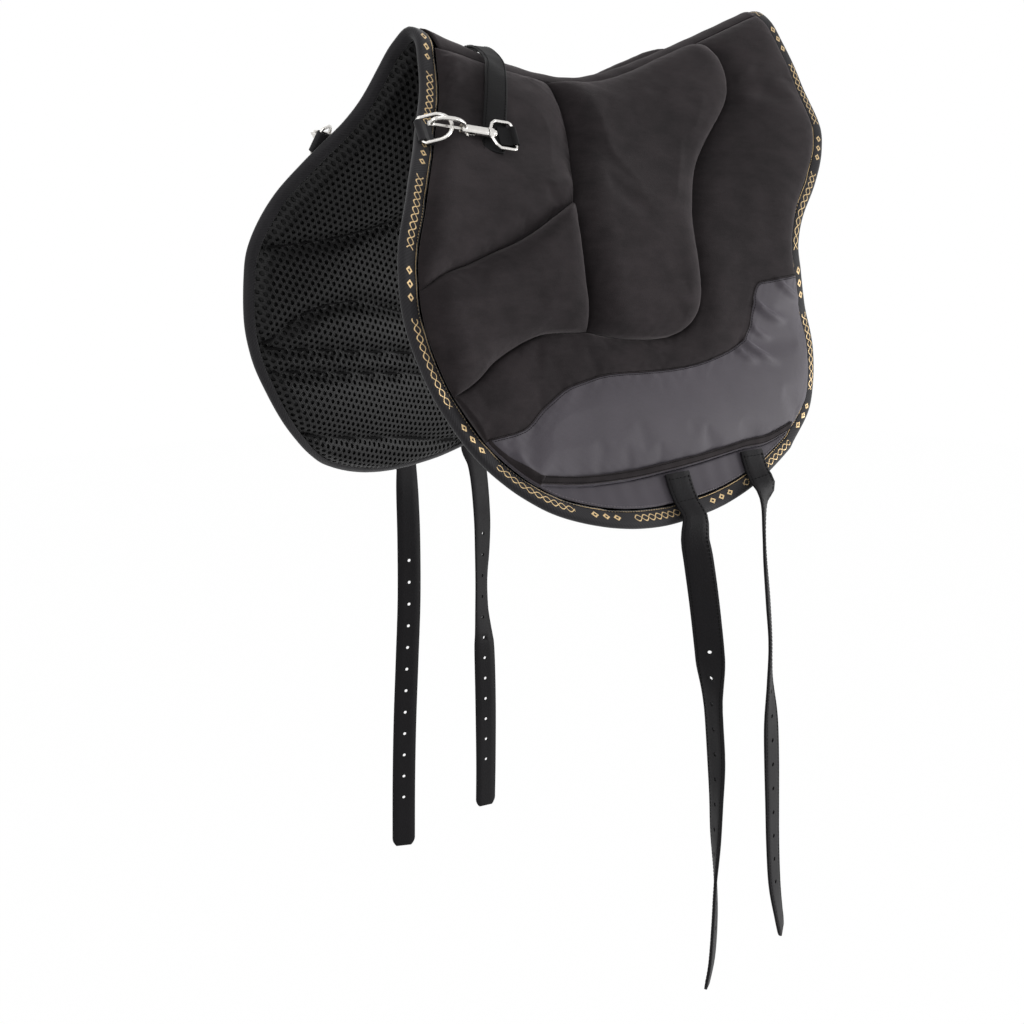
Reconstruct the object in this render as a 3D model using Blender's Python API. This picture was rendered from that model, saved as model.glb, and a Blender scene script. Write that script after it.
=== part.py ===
# A padded bareback pad: two quilted flaps that meet along the horse's spine, with girth
# billets, rings at the front edge and a clip-on grab strap over the withers.
# Metres, +Z up, -X towards the withers, -Y the near (left) side of the horse. The origin
# is under the spine at the dip, where the pad lies on the horse's back.
import math

import bmesh
import bpy
import numpy as np
from mathutils import Matrix, Vector

NEAR, FAR = -1, 1
SIDES = (("near", NEAR), ("far", FAR))

# Overall sizes
pad_length = 0.520
flap_depth = 0.500
half_spread = 0.200
flap_drop = 0.460
front_rise = 0.038
rear_rise = 0.103
front_reach_share = 0.385
rear_reach_share = 0.606
front_softness_share = 0.50
rear_softness_share = 0.25
widening_share = 0.33
widening_start_share = -0.50
widening_end_share = 0.115
section_tail_share = 60.0

# Layers, counted outwards from the horse
lining_thickness = 0.0060
web_thickness = 0.0010
layer_gap = 0.0010
cover_thickness = 0.0012
seam_gap = 0.0011
ridge_gap = 0.0003
panel_to_binding = 0.0014

# Binding tape, spine band and girth webs
binding_width = 0.016
binding_thickness = 0.0016
binding_slack = 0.0008
edge_setback = 0.0028
spine_band_thickness = 0.0020
channel_half_rear = 0.010
channel_half_front = 0.028
channel_narrow_x = 0.120
channel_wide_x = -0.190
hem_strip_thickness = 0.0020
web_width = 0.040
front_billet_x = -0.033
rear_billet_x = 0.068

# Cushion heights over their covers' edges
edge_roll = 0.022
upper_roll_height = 0.010
lower_roll_height = 0.015
seat_height = 0.014
surround_height = 0.009
flap_height = 0.008
foam_base_gap = 0.0006
foam_top_gap = 0.0012

# Girth billets
billet_drop = 0.520
billet_overrun = 0.004
billet_width = 0.030
billet_thickness = 0.003
hole_pitch = 0.0285
hole_radius = 0.0021
hole_cell = 0.012
billet_step = 0.005
root_length = 0.070
root_cells = 6
plain_cell = 0.027
tip_to_hole = 0.066
holes_per_billet = 12
billet_lift = 0.0007
web_end_setback = 0.012

# Rings and their tabs
ring_bar_inset = 0.001
ring_wire_radius = 0.0020
ring_half_width = 0.0145
ring_reach = 0.030
tab_width = 0.023
tab_thickness = 0.0014
tab_slack = 0.00035
tab_lift = 0.0007
tab_end_inset = 0.0152

# Bolt snaps
snap_wire_radius = 0.0021
barrel_radius = 0.0046
barrel_front = 0.013
barrel_length = 0.029
barrel_low = -0.0052
bolt_radius = 0.0017
bolt_low = -0.0058
bore_slack = 0.0004
bolt_travel = 0.008
bolt_tail = 0.009
eye_tip = 0.020
eye_high = 0.0066
stud_radius = 0.0014
stud_length = 0.0052
stud_setback = 0.003
tip_seat_gap = 0.0004
spring_wire_radius = 0.00035
spring_radius = 0.0012
spring_turns = 5
spring_sides = 6
neck_radius = 0.0020
neck_length = 0.0075
head_radius = 0.0036
head_length = 0.0022
collar_radius = 0.0048
collar_length = 0.0060
collar_slack = 0.0004
loop_wire_radius = 0.0018
loop_half_width = 0.0150
loop_length = 0.025
head_room = 0.0010

# Grab strap
strap_width = 0.0245
strap_twist = math.radians(9)
strap_thickness = 0.0028
strap_height = 0.0345
chape_width = 0.020
chape_thickness = 0.0014
chape_slack = 0.0005
chape_edge_gap = 0.0042
chape_leg = 0.0095
eye_lift = 0.0030

# Where the rings sit down the front edge, as a share of the flap's depth
ring_depth_share = 0.296

# The flap's section across the spine: share of the spread, share of the drop
section_shares = (
    (0.0, 0.0),
    (0.085, 0.026),
    (0.160, 0.083),
    (0.300, 0.204),
    (0.465, 0.311),
    (0.590, 0.413),
    (0.655, 0.522),
    (0.690, 0.630),
    (0.745, 0.733),
    (0.795, 0.833),
    (0.865, 0.915),
    (0.985, 0.989),
    (1.120, 1.060),
)

# The flap's outline: share of the pad's length from the dip, share of the flap's depth
outline_shares = (
    ("spine_front", -0.385, 0.0),
    (None, -0.400, 0.075),
    (None, -0.430, 0.180),
    (None, -0.488, 0.304),
    (None, -0.548, 0.428),
    (None, -0.590, 0.540),
    ("roll_end", -0.599, 0.620),
    (None, -0.594, 0.700),
    (None, -0.576, 0.765),
    ("lower_roll_end", -0.548, 0.822),
    ("surround_tip", -0.490, 0.900),
    (None, -0.432, 0.952),
    ("hem_toe", -0.388, 0.980),
    ("strip_toe", -0.345, 0.997),
    (None, -0.280, 1.004),
    (None, -0.208, 1.000),
    (None, -0.130, 0.985),
    (None, -0.030, 0.958),
    (None, 0.060, 0.940),
    (None, 0.154, 0.927),
    ("strip_heel", 0.235, 0.910),
    ("hem_heel", 0.262, 0.899),
    (None, 0.338, 0.848),
    (None, 0.374, 0.742),
    (None, 0.374, 0.640),
    ("surround_heel", 0.373, 0.575),
    (None, 0.379, 0.520),
    (None, 0.410, 0.474),
    (None, 0.477, 0.426),
    (None, 0.537, 0.374),
    (None, 0.579, 0.308),
    (None, 0.602, 0.190),
    (None, 0.604, 0.085),
    ("spine_rear", 0.606, 0.0),
)

# Seams between the cushions, in the same shares
seat_front_top_share = -0.081
seat_rear_top_share = 0.366
seat_front_shares = ((-0.085, 0.120), (-0.100, 0.190), (-0.120, 0.245))
roll_corner_shares = (-0.160, 0.336)
seat_front_low_shares = ((-0.187, 0.395), (-0.204, 0.476), (-0.208, 0.548))
seat_low_front_shares = (-0.210, 0.607)
roll_seam_shares = (
    (-0.232, 0.392),
    (-0.285, 0.433),
    (-0.340, 0.471),
    (-0.398, 0.506),
    (-0.455, 0.543),
    (-0.515, 0.578),
)
lower_roll_shares = (
    (-0.292, 0.628),
    (-0.335, 0.650),
    (-0.379, 0.682),
    (-0.425, 0.720),
    (-0.470, 0.765),
)
seat_bottom_shares = ((-0.165, 0.608), (-0.096, 0.603), (-0.029, 0.594))
seat_low_rear_shares = (0.014, 0.577)
seat_rear_shares = (
    (0.378, 0.055),
    (0.383, 0.096),
    (0.371, 0.140),
    (0.338, 0.180),
    (0.246, 0.240),
    (0.192, 0.278),
    (0.148, 0.322),
    (0.110, 0.372),
    (0.084, 0.424),
    (0.069, 0.474),
    (0.058, 0.520),
    (0.041, 0.553),
)
flap_top_shares = (
    (0.252, 0.554),
    (0.215, 0.546),
    (0.195, 0.563),
    (0.182, 0.594),
    (0.165, 0.626),
    (0.130, 0.643),
    (0.067, 0.650),
    (-0.012, 0.660),
    (-0.092, 0.672),
    (-0.156, 0.684),
    (-0.204, 0.698),
    (-0.250, 0.720),
    (-0.288, 0.741),
    (-0.342, 0.788),
    (-0.390, 0.840),
)
hem_shares = (
    (-0.281, 0.930),
    (-0.175, 0.898),
    (-0.094, 0.873),
    (-0.020, 0.856),
    (0.045, 0.848),
    (0.110, 0.851),
    (0.175, 0.866),
)

# Rows and columns of the layers and the cushions; neighbours share those on their seam
layer_row_shares = (
    0.0, 0.014, 0.028, 0.045, 0.070, 0.115, 0.175, 0.235, 0.295, 0.355, 0.415,
    0.475, 0.535, 0.595, 0.655, 0.715, 0.775, 0.835, 0.890, 0.945, 1.0,
)
layer_column_count = 13
corner_step = 3
column_shares = (0.0, 0.06, 0.19, 0.345, 0.5, 0.655, 0.81, 0.94, 1.0)
upper_row_shares = (0.0, 0.07, 0.20, 0.35, 0.50, 0.65, 0.80, 0.93, 1.0)
lower_row_shares = (0.0, 0.11, 0.30, 0.50, 0.70, 0.89, 1.0)
rear_edge_shares = (0.0, 0.09, 0.22, 0.36, 0.50, 0.63, 0.74, 0.83, 0.91, 1.0)
flap_row_shares = (0.0, 0.12, 0.37, 0.63, 0.88, 1.0)
flap_column_shares = (
    0.0, 0.045, 0.100, 0.155, 0.210, 0.265, 0.315, 0.360, 0.400, 0.450, 0.500,
    0.550, 0.600, 0.645, 0.685, 0.720, 0.749, 0.790, 0.824, 0.855, 0.888, 1.0,
)
surround_column_shares = (0.0, 0.20, 0.5, 0.80, 1.0)

# A billet's course below the flap's edge: share of the drop, place along the spine and
# distance out from the flap's edge as shares of the drop, and its turn in degrees
billet_course_shares = {
    "near_front_billet": (
        (0.040, -0.076, 0.012, 24),
        (0.079, -0.072, 0.018, 32),
        (0.159, -0.055, 0.019, 38),
        (0.242, -0.037, 0.017, 42),
        (0.284, -0.030, 0.017, 56),
        (0.326, -0.024, 0.016, 82),
        (0.368, -0.018, 0.015, 98),
        (0.411, -0.012, 0.015, 102),
        (0.497, 0.000, 0.013, 103),
        (0.584, 0.007, 0.010, 113),
        (0.671, 0.011, 0.008, 121),
        (0.761, 0.016, 0.006, 138),
        (0.851, 0.020, 0.004, 146),
        (0.938, 0.015, 0.004, 148),
        (0.993, 0.003, 0.003, 148),
    ),
    "near_rear_billet": (
        (0.032, 0.122, 0.011, -30),
        (0.090, 0.117, 0.018, -39),
        (0.151, 0.122, 0.019, -39),
        (0.237, 0.138, 0.017, -37),
        (0.323, 0.151, 0.016, -38),
        (0.408, 0.155, 0.015, -33),
        (0.496, 0.166, 0.013, -15),
        (0.586, 0.177, 0.010, -12),
        (0.677, 0.186, 0.008, -14),
        (0.770, 0.195, 0.006, -16),
        (0.865, 0.208, 0.004, -19),
        (0.940, 0.225, 0.004, -27),
        (0.991, 0.240, 0.003, -31),
    ),
    "far_front_billet": (
        (0.023, -0.056, 0.010, -2),
        (0.063, -0.050, 0.017, 8),
        (0.103, -0.048, 0.018, 14),
        (0.203, -0.046, 0.018, 20),
        (0.353, -0.050, 0.015, 22),
        (0.504, -0.060, 0.013, 22),
        (0.656, -0.072, 0.009, 22),
        (0.811, -0.081, 0.005, 22),
        (0.982, -0.086, 0.003, 22),
    ),
    "far_rear_billet": (
        (0.030, 0.142, 0.010, 0),
        (0.070, 0.164, 0.017, -4),
        (0.133, 0.177, 0.019, -6),
        (0.226, 0.184, 0.018, -8),
        (0.304, 0.182, 0.016, -14),
        (0.382, 0.178, 0.015, -23),
        (0.461, 0.178, 0.014, -19),
        (0.515, 0.181, 0.012, -6),
        (0.569, 0.184, 0.011, 11),
        (0.703, 0.184, 0.007, 14),
        (0.867, 0.182, 0.004, 9),
        (0.990, 0.179, 0.003, 7),
    ),
}

# The grab strap's centre line on one side, from the crest down: shares of the pad's length
# from the dip, of the flap's depth and of the strap's greatest height over the horse's back;
# a straight tail follows it
strap_half_shares = (
    (-0.2192, 0.000, 0.465),
    (-0.2212, 0.016, 0.481),
    (-0.2260, 0.034, 0.538),
    (-0.2365, 0.056, 0.650),
    (-0.2538, 0.084, 0.812),
    (-0.2731, 0.120, 0.928),
    (-0.2913, 0.160, 1.000),
    (-0.3038, 0.192, 1.006),
    (-0.3148, 0.224, 0.977),
)
strap_tail = 0.040
tail_eye_share = 0.42


def mix(a, b, share):
    return a + (b - a) * share


def clear_scene():
    for thing in list(bpy.data.objects):
        bpy.data.objects.remove(thing, do_unlink=True)


def finish(name, colour, roughness, metallic=0.0):
    material = bpy.data.materials.new(name)
    material.use_nodes = True
    shader = material.node_tree.nodes["Principled BSDF"]
    shader.inputs["Base Color"].default_value = (*colour, 1.0)
    shader.inputs["Roughness"].default_value = roughness
    shader.inputs["Metallic"].default_value = metallic
    return material


# Curves on the flap, as (place along the spine, depth down the flap)
def smooth_through(points, closed=False, steps=12):
    knots = np.asarray(points, float)
    if closed:
        padded = np.vstack([knots[-1:], knots, knots[:2]])
    else:
        padded = np.vstack([2 * knots[0] - knots[1], knots, 2 * knots[-1] - knots[-2]])
    spans = len(padded) - 3
    shares = np.arange(steps)[:, None] / steps
    pieces = []
    for index in range(spans):
        before, start, end, after = padded[index:index + 4]
        slope_in = (end - before) / 2
        slope_out = (after - start) / 2
        pieces.append(
            (2 * shares**3 - 3 * shares**2 + 1) * start
            + (shares**3 - 2 * shares**2 + shares) * slope_in
            + (3 * shares**2 - 2 * shares**3) * end
            + (shares**3 - shares**2) * slope_out
        )
    if not closed:
        pieces.append(knots[-1:])
    return np.vstack(pieces)


class Course:
    """A curve that is read by share of its length or by depth."""

    def __init__(self, points):
        self.points = np.asarray(points, float)
        steps = np.linalg.norm(np.diff(self.points, axis=0), axis=1)
        self.run = np.concatenate([[0.0], np.cumsum(steps)])
        self.length = self.run[-1]

    def at(self, share):
        where = np.asarray(share, float) * self.length
        return np.stack([np.interp(where, self.run, c) for c in self.points.T], -1)

    def reversed(self):
        return Course(self.points[::-1])


def joined(*courses):
    return Course(np.vstack([courses[0].points] + [c.points[1:] for c in courses[1:]]))


def on_pad(shares):
    return np.asarray(shares, float) * (pad_length, flap_depth)


# The draped shape of the horse's back
def section_table():
    half = np.asarray(section_shares) * (half_spread, flap_drop)
    mirrored = np.vstack([(half * (-1, 1))[:0:-1], half])
    dense = smooth_through(mirrored, steps=24)
    dense = np.vstack([
        dense[:1] + (dense[:1] - dense[1:2]) * section_tail_share, dense,
        dense[-1:] + (dense[-1:] - dense[-2:-1]) * section_tail_share])
    middle = (len(half) - 1) * 24 + 1
    steps = np.linalg.norm(np.diff(dense, axis=0), axis=1)
    run = np.concatenate([[0.0], np.cumsum(steps)])
    return run - run[middle], dense[:, 0], dense[:, 1]


section_run, section_out, section_drop = section_table()
section_step = flap_depth / 500


def eased(share):
    share = np.clip(share, 0.0, 1.0)
    return share * share * (3 - 2 * share)


def soft_ramp(share, softness):
    return (np.sqrt(share**2 + softness**2) - softness) / (math.hypot(1, softness) - softness)


def spine_height(x):
    x = np.asarray(x, float)
    front = front_rise * soft_ramp(x / (front_reach_share * pad_length), front_softness_share)
    rear = rear_rise * soft_ramp(x / (rear_reach_share * pad_length), rear_softness_share)
    return np.where(x < 0, front, rear)


def width_factor(x):
    start = widening_start_share * pad_length
    end = widening_end_share * pad_length
    return 1 + widening_share * eased((np.asarray(x, float) - start) / (end - start))


def drape(x, v, w):
    """The point at x along the spine, v down the flap (near side negative), w outwards."""
    x, v, w = np.broadcast_arrays(np.asarray(x, float), v, w)
    factor = width_factor(x)
    out = np.interp(v, section_run, section_out) * factor
    drop = np.interp(v, section_run, section_drop)
    out_on = np.interp(v + section_step, section_run, section_out) * factor
    out_back = np.interp(v - section_step, section_run, section_out) * factor
    drop_on = np.interp(v + section_step, section_run, section_drop)
    drop_back = np.interp(v - section_step, section_run, section_drop)
    across = out_on - out_back
    down = drop_on - drop_back
    size = np.hypot(across, down)
    return np.stack([x, out + w * down / size, spine_height(x) - drop + w * across / size], -1)


# The outline and its insets
outline_steps = 12
outline_labels = {row[0]: n for n, row in enumerate(outline_shares) if row[0]}


def outline_loop():
    half = on_pad([row[1:] for row in outline_shares])
    mirrored = (half * (1, -1))[-2:0:-1]
    return smooth_through(np.vstack([half, mirrored]), closed=True, steps=outline_steps)


outline = outline_loop()


def inward_normals(loop):
    along = np.roll(loop, -1, axis=0) - np.roll(loop, 1, axis=0)
    along /= np.linalg.norm(along, axis=1)[:, None]
    return np.stack([along[:, 1], -along[:, 0]], -1)


outline_inward = inward_normals(outline)


def edge_stretch(start, end, inset):
    first = outline_labels[start] * outline_steps
    last = outline_labels[end] * outline_steps
    step = 1 if last > first else -1
    index = np.arange(first, last + step, step)
    return Course(outline[index] + inset * outline_inward[index])


def edge_point(label, inset):
    index = outline_labels[label] * outline_steps
    return outline[index] + inset * outline_inward[index]


def edge_at(stations, inset):
    """Points of the outline, moved inwards, at fractional stations along it."""
    moved = outline + inset * outline_inward
    counted = np.arange(len(outline))
    return np.stack([np.interp(stations, counted, c) for c in moved.T], -1)


def row_stations(start, end):
    """Stations of the outline from one label to another, spread as the lining's rows."""
    first = outline_labels[start] * outline_steps
    last = outline_labels[end] * outline_steps
    index = np.linspace(first, last, abs(last - first) + 1)
    steps = np.linalg.norm(np.diff(edge_at(index, binding_width), axis=0), axis=1)
    run = np.concatenate([[0.0], np.cumsum(steps)])
    return np.interp(run[-1] * np.asarray(layer_row_shares), run, index)


front_stations = row_stations("spine_front", "strip_toe")
rear_stations = row_stations("spine_rear", "strip_heel")
bottom_stations = np.linspace(front_stations[-1], rear_stations[-1], layer_column_count)
corner_stations = (front_stations[-1] - corner_step, rear_stations[-1] + corner_step)
mid_stations = (
    (front_stations[-2] + corner_stations[0]) / 2, (rear_stations[-2] + corner_stations[1]) / 2)


def channel_half(x):
    share = (channel_narrow_x - np.asarray(x, float)) / (channel_narrow_x - channel_wide_x)
    return mix(channel_half_rear, channel_half_front, np.clip(share, 0.0, 1.0))


def channel_point(x):
    return np.array([x, channel_half(x) + seam_gap])


def below_channel(course):
    """The course from where it crosses the edge of the spine's channel."""
    keep = course.points[:, 1] > channel_half(course.points[:, 0]) + seam_gap
    kept = course.points[keep]
    return Course(np.vstack([channel_point(kept[0, 0]), kept]))


def channel_stretch(start_x, end_x, count=16):
    return Course([channel_point(x) for x in np.linspace(start_x, end_x, count)])


# Patches of the flap between four courses
def patch(left, right, top, bottom, rows, columns, gap):
    tall = max(left.length, right.length)
    wide = max(top.length, bottom.length)
    rows = gap / tall + (1 - 2 * gap / tall) * np.asarray(rows)
    columns = gap / wide + (1 - 2 * gap / wide) * np.asarray(columns)
    corners = (top.points[0], top.points[-1], bottom.points[0], bottom.points[-1])
    edges = (left.at(rows), right.at(rows), top.at(columns), bottom.at(columns))
    return blended(*edges, corners, rows, columns)


def blended(left, right, top, bottom, corners, rows, columns):
    """Points between four sides, each given at the rows or the columns."""
    t = np.asarray(rows)[:, None, None]
    s = np.asarray(columns)[None, :, None]
    from_corners = (
        (1 - s) * (1 - t) * corners[0] + s * (1 - t) * corners[1]
        + (1 - s) * t * corners[2] + s * t * corners[3]
    )
    sides = (1 - s) * left[:, None, :] + s * right[:, None, :]
    ends = (1 - t) * top[None, :, :] + t * bottom[None, :, :]
    return sides + ends - from_corners


def ruled_patch(inner, outer, inner_rows, outer_rows, columns, gap):
    inner_rows = gap / inner.length + (1 - 2 * gap / inner.length) * np.asarray(inner_rows)
    outer_rows = gap / outer.length + (1 - 2 * gap / outer.length) * np.asarray(outer_rows)
    inner_points = inner.at(inner_rows)[:, None, :]
    outer_points = outer.at(outer_rows)[:, None, :]
    width = np.linalg.norm(outer_points - inner_points, axis=-1, keepdims=True)
    columns = np.asarray(columns)[None, :, None]
    columns = gap / width + (1 - 2 * gap / width) * columns
    return mix(inner_points, outer_points, columns)


def roll_off(distance, radius):
    share = 1 - np.clip(distance / radius, 0.0, 1.0)
    return np.sqrt(1 - share**2)


def pillow(grid, height, gap=0.0):
    """The cushion's height over each point, drawn in at its four sides."""
    across = np.linalg.norm(np.diff(grid, axis=1), axis=-1)
    down = np.linalg.norm(np.diff(grid, axis=0), axis=-1)
    from_left = np.pad(np.cumsum(across, axis=1), ((0, 0), (1, 0)))
    from_top = np.pad(np.cumsum(down, axis=0), ((1, 0), (0, 0)))
    to_right = from_left[:, -1:] - from_left
    to_bottom = from_top[-1:, :] - from_top
    side = np.minimum(from_left, to_right) + gap
    end = np.minimum(from_top, to_bottom) + gap
    return height * roll_off(side, edge_roll) * roll_off(end, edge_roll)


# Making solids
pivot_places = {}
sharp_edge_angle = math.radians(50)


def add_object(name, vertices, faces, material, pivot=None):
    mesh = bpy.data.meshes.new(name)
    origin = pivot_places[pivot.name] if pivot else Vector()
    mesh.from_pydata([Vector(v) - origin for v in vertices], [], faces)
    work = bmesh.new()
    work.from_mesh(mesh)
    bmesh.ops.recalc_face_normals(work, faces=work.faces[:])
    work.to_mesh(mesh)
    work.free()
    mesh.materials.append(material)
    made = bpy.data.objects.new(name, mesh)
    bpy.context.scene.collection.objects.link(made)
    if pivot:
        made.parent = pivot
    return made


def shade_round(made):
    """Smooth shading that keeps the edges sharp."""
    made.data.shade_smooth()
    made.data.set_sharp_from_angle(angle=sharp_edge_angle)


def add_pivot(name, place, parent=None):
    pivot = bpy.data.objects.new(name, None)
    bpy.context.scene.collection.objects.link(pivot)
    pivot_places[name] = Vector(place)
    pivot.location = pivot_places[name]
    if parent:
        pivot.parent = parent
        pivot.location = pivot_places[name] - pivot_places[parent.name]
    return pivot


def grid_solid(name, low, high, material):
    """A closed slab between two grids of points."""
    rows, columns = low.shape[:2]
    count = rows * columns

    def at(level, row, column):
        return level * count + row * columns + column

    faces = []
    for level in (0, 1):
        for row in range(rows - 1):
            for column in range(columns - 1):
                faces.append((
                    at(level, row, column), at(level, row, column + 1),
                    at(level, row + 1, column + 1), at(level, row + 1, column),
                ))
    rim = [(0, c) for c in range(columns)] + [(r, columns - 1) for r in range(1, rows)]
    rim += [(rows - 1, c) for c in range(columns - 2, -1, -1)]
    rim += [(r, 0) for r in range(rows - 2, 0, -1)]
    for here, there in zip(rim, rim[1:] + rim[:1]):
        faces.append((at(0, *here), at(0, *there), at(1, *there), at(1, *here)))
    points = np.vstack([low.reshape(-1, 3), high.reshape(-1, 3)])
    return add_object(name, points, faces, material)


def swept(sections, closed):
    """Vertices and faces of a solid through rings of points."""
    rings, around = sections.shape[:2]
    faces = []
    for ring in range(rings if closed else rings - 1):
        ahead = (ring + 1) % rings
        for point in range(around):
            beside = (point + 1) % around
            faces.append((
                ring * around + point, ring * around + beside,
                ahead * around + beside, ahead * around + point,
            ))
    if not closed:
        faces.append(tuple(range(around)))
        faces.append(tuple((rings - 1) * around + point for point in range(around)))
    return sections.reshape(-1, 3), faces


def round_sections(path, radius, around, closed):
    """Circles of points square to a path."""
    path = np.asarray(path, float)
    if closed:
        along = np.roll(path, -1, axis=0) - np.roll(path, 1, axis=0)
    else:
        along = np.gradient(path, axis=0)
    along /= np.linalg.norm(along, axis=1)[:, None]
    spread = path.max(axis=0) - path.min(axis=0)
    side = np.eye(3)[int(np.argmin(spread))]
    sections = []
    for centre, forward in zip(path, along):
        first = side - forward * (side @ forward)
        first /= np.linalg.norm(first)
        second = np.cross(forward, first)
        turns = 2 * math.pi * np.arange(around) / around
        ring = np.outer(np.cos(turns), first) + np.outer(np.sin(turns), second)
        sections.append(centre + radius * ring)
        side = first
    return np.array(sections)


def frame_matrix(origin, along, outward):
    """A frame with X along, Z near outward and Y square to both."""
    x_axis = Vector(along).normalized()
    z_axis = Vector(outward)
    z_axis = (z_axis - x_axis * z_axis.dot(x_axis)).normalized()
    y_axis = z_axis.cross(x_axis)
    turn = Matrix((x_axis, y_axis, z_axis)).transposed().to_4x4()
    return Matrix.Translation(Vector(origin)) @ turn


def placed(points, frame):
    return np.array([frame @ Vector(p) for p in points])


def cylinder(start, end, radius, around=12):
    """Sections of a round bar along the local X axis."""
    path = np.array([start, end], float)
    return round_sections(path, radius, around, closed=False)


def boolean_into(target, tool, operation):
    """Joins or cuts in the target's own space, and removes the tool."""
    if target.parent:
        tool.location = -pivot_places[target.parent.name]
    step = target.modifiers.new(operation.lower(), "BOOLEAN")
    step.operation = operation
    step.solver = "EXACT"
    step.object = tool
    parent = target.parent
    target.parent = None
    bpy.context.view_layer.update()
    evaluated = target.evaluated_get(bpy.context.evaluated_depsgraph_get())
    result = bpy.data.meshes.new_from_object(evaluated)
    target.modifiers.clear()
    target.data = result
    target.parent = parent
    bpy.data.objects.remove(tool, do_unlink=True)


# The sewn layers of one flap
cover_low = lining_thickness + 2 * layer_gap + web_thickness
binding_high = lining_thickness + binding_slack
panel_inset = binding_width + panel_to_binding


def lining(name, side, material):
    """The spacer mesh of one flap, with a ring of cells under the binding."""
    front, rear, bottom = (
        edge_at(stations, binding_width)
        for stations in (front_stations, rear_stations, bottom_stations))
    columns = np.linspace(0, 1, layer_column_count)
    ridge = mix(front[0], rear[0], columns[:, None])
    corners = (front[0], rear[0], front[-1], rear[-1])
    inner = blended(front, rear, ridge, bottom, corners, layer_row_shares, columns)
    outer_front, outer_rear, outer_bottom = (
        edge_at(stations, edge_setback)
        for stations in (front_stations, rear_stations, bottom_stations))
    grid = np.concatenate([outer_front[:, None], inner, outer_rear[:, None]], axis=1)
    foot = np.vstack([outer_front[-1], outer_bottom, outer_rear[-1]])
    grid = np.vstack([grid, foot[None]])
    grid[-1, [0, -1]] = edge_at(corner_stations, edge_setback)
    grid[-2, [0, -1]] = edge_at(mid_stations, edge_setback)
    x = grid[..., 0]
    v = side * np.maximum(grid[..., 1], ridge_gap)
    grid_solid(name, drape(x, v, 0.0), drape(x, v, lining_thickness), material)


def girth_web(name, x_middle, material):
    reach = flap_depth * np.interp(x_middle / pad_length, *np.array(hem_shares).T) - web_end_setback
    depths = [share * flap_depth for share in layer_row_shares if share * flap_depth < reach]
    v = np.array([-reach] + [-d for d in depths[:0:-1]] + depths + [reach])[:, None]
    x = x_middle + web_width * np.array([-0.5, 0.5])[None, :]
    low = lining_thickness + layer_gap
    grid_solid(name, drape(x, v, low), drape(x, v, low + web_thickness), material)


def spine_band(material):
    front = edge_point("spine_front", panel_inset)[0]
    rear = edge_point("spine_rear", panel_inset)[0]
    x = np.linspace(front, rear, 12)[:, None]
    across = np.array([-1.0, -0.5, 0.0, 0.5, 1.0])[None, :]
    v = across * (channel_half(x) - seam_gap)
    high = cover_low + spine_band_thickness
    grid_solid("spine_band", drape(x, v, cover_low), drape(x, v, high), material)


def binding(material):
    """The tape folded round the pad's whole edge, as one closed U-shaped ring."""
    high = binding_high + binding_thickness
    low = -binding_slack - binding_thickness
    turn = 2 * binding_thickness
    profile = (
        (binding_width, high),
        (turn, high),
        (0.0, high - turn),
        (0.0, low + turn),
        (turn, low),
        (binding_width, low),
        (binding_width, low + binding_thickness),
        (edge_setback - binding_slack, low + binding_thickness),
        (edge_setback - binding_slack, binding_high),
        (binding_width, binding_high),
    )
    stations = np.concatenate([
        front_stations[:-1], [mid_stations[0], corner_stations[0]], bottom_stations,
        [corner_stations[1], mid_stations[1]], rear_stations[-2::-1],
    ])
    sections = []
    for inset, height in profile:
        half = edge_at(stations, inset)
        half[[0, -1], 1] = 0.0
        place = np.vstack([half, half[-2:0:-1] * (1, -1)])
        sections.append(drape(place[:, 0], place[:, 1], height))
    vertices, faces = swept(np.stack(sections, axis=1), closed=True)
    add_object("edge_binding", vertices, faces, material)


def cushion(name, side, grid, height, cover_material, foam_material):
    """A sewn-down cover and, under it, the foam that fills it."""
    rise = pillow(grid, height)
    x, v = grid[..., 0], side * grid[..., 1]
    under = drape(x, v, cover_low + rise)
    over = drape(x, v, cover_low + cover_thickness + rise)
    grid_solid(name + "_cover", under, over, cover_material)
    x, v, rise = (part[1:-1, 1:-1] for part in (x, v, rise))
    base = drape(x, v, cover_low + foam_base_gap)
    grid_solid(name + "_foam", base, drape(x, v, cover_low + rise - foam_top_gap), foam_material)


def seams():
    """The courses that divide a flap into its cushions."""
    front_top = channel_point(seat_front_top_share * pad_length)
    rear_top = channel_point(seat_rear_top_share * pad_length)
    roll_corner = on_pad(roll_corner_shares)
    low_front = on_pad(seat_low_front_shares)
    low_rear = on_pad(seat_low_rear_shares)
    seat_front = smooth_through(np.vstack([
        front_top, on_pad(seat_front_shares), roll_corner,
        on_pad(seat_front_low_shares), low_front,
    ]))
    split = int(np.argmin(np.linalg.norm(seat_front - roll_corner, axis=1)))
    found = {
        "seat_front": Course(seat_front),
        "seat_front_high": Course(seat_front[:split + 1]),
        "seat_front_low": Course(seat_front[split:]),
        "roll": smooth_course(roll_corner, roll_seam_shares, edge_point("roll_end", panel_inset)),
        "lower_roll": smooth_course(
            low_front, lower_roll_shares, edge_point("lower_roll_end", panel_inset)),
        "seat_bottom": smooth_course(low_front, seat_bottom_shares, low_rear),
        "seat_rear": smooth_course(rear_top, seat_rear_shares, low_rear),
        "flap_top": smooth_course(
            edge_point("surround_heel", panel_inset), flap_top_shares,
            edge_point("surround_tip", panel_inset)),
        "hem": smooth_course(
            edge_point("hem_toe", panel_inset), hem_shares, edge_point("hem_heel", panel_inset)),
    }
    return found


def smooth_course(start, shares, end):
    return Course(smooth_through(np.vstack([start, on_pad(shares), end])))


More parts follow.
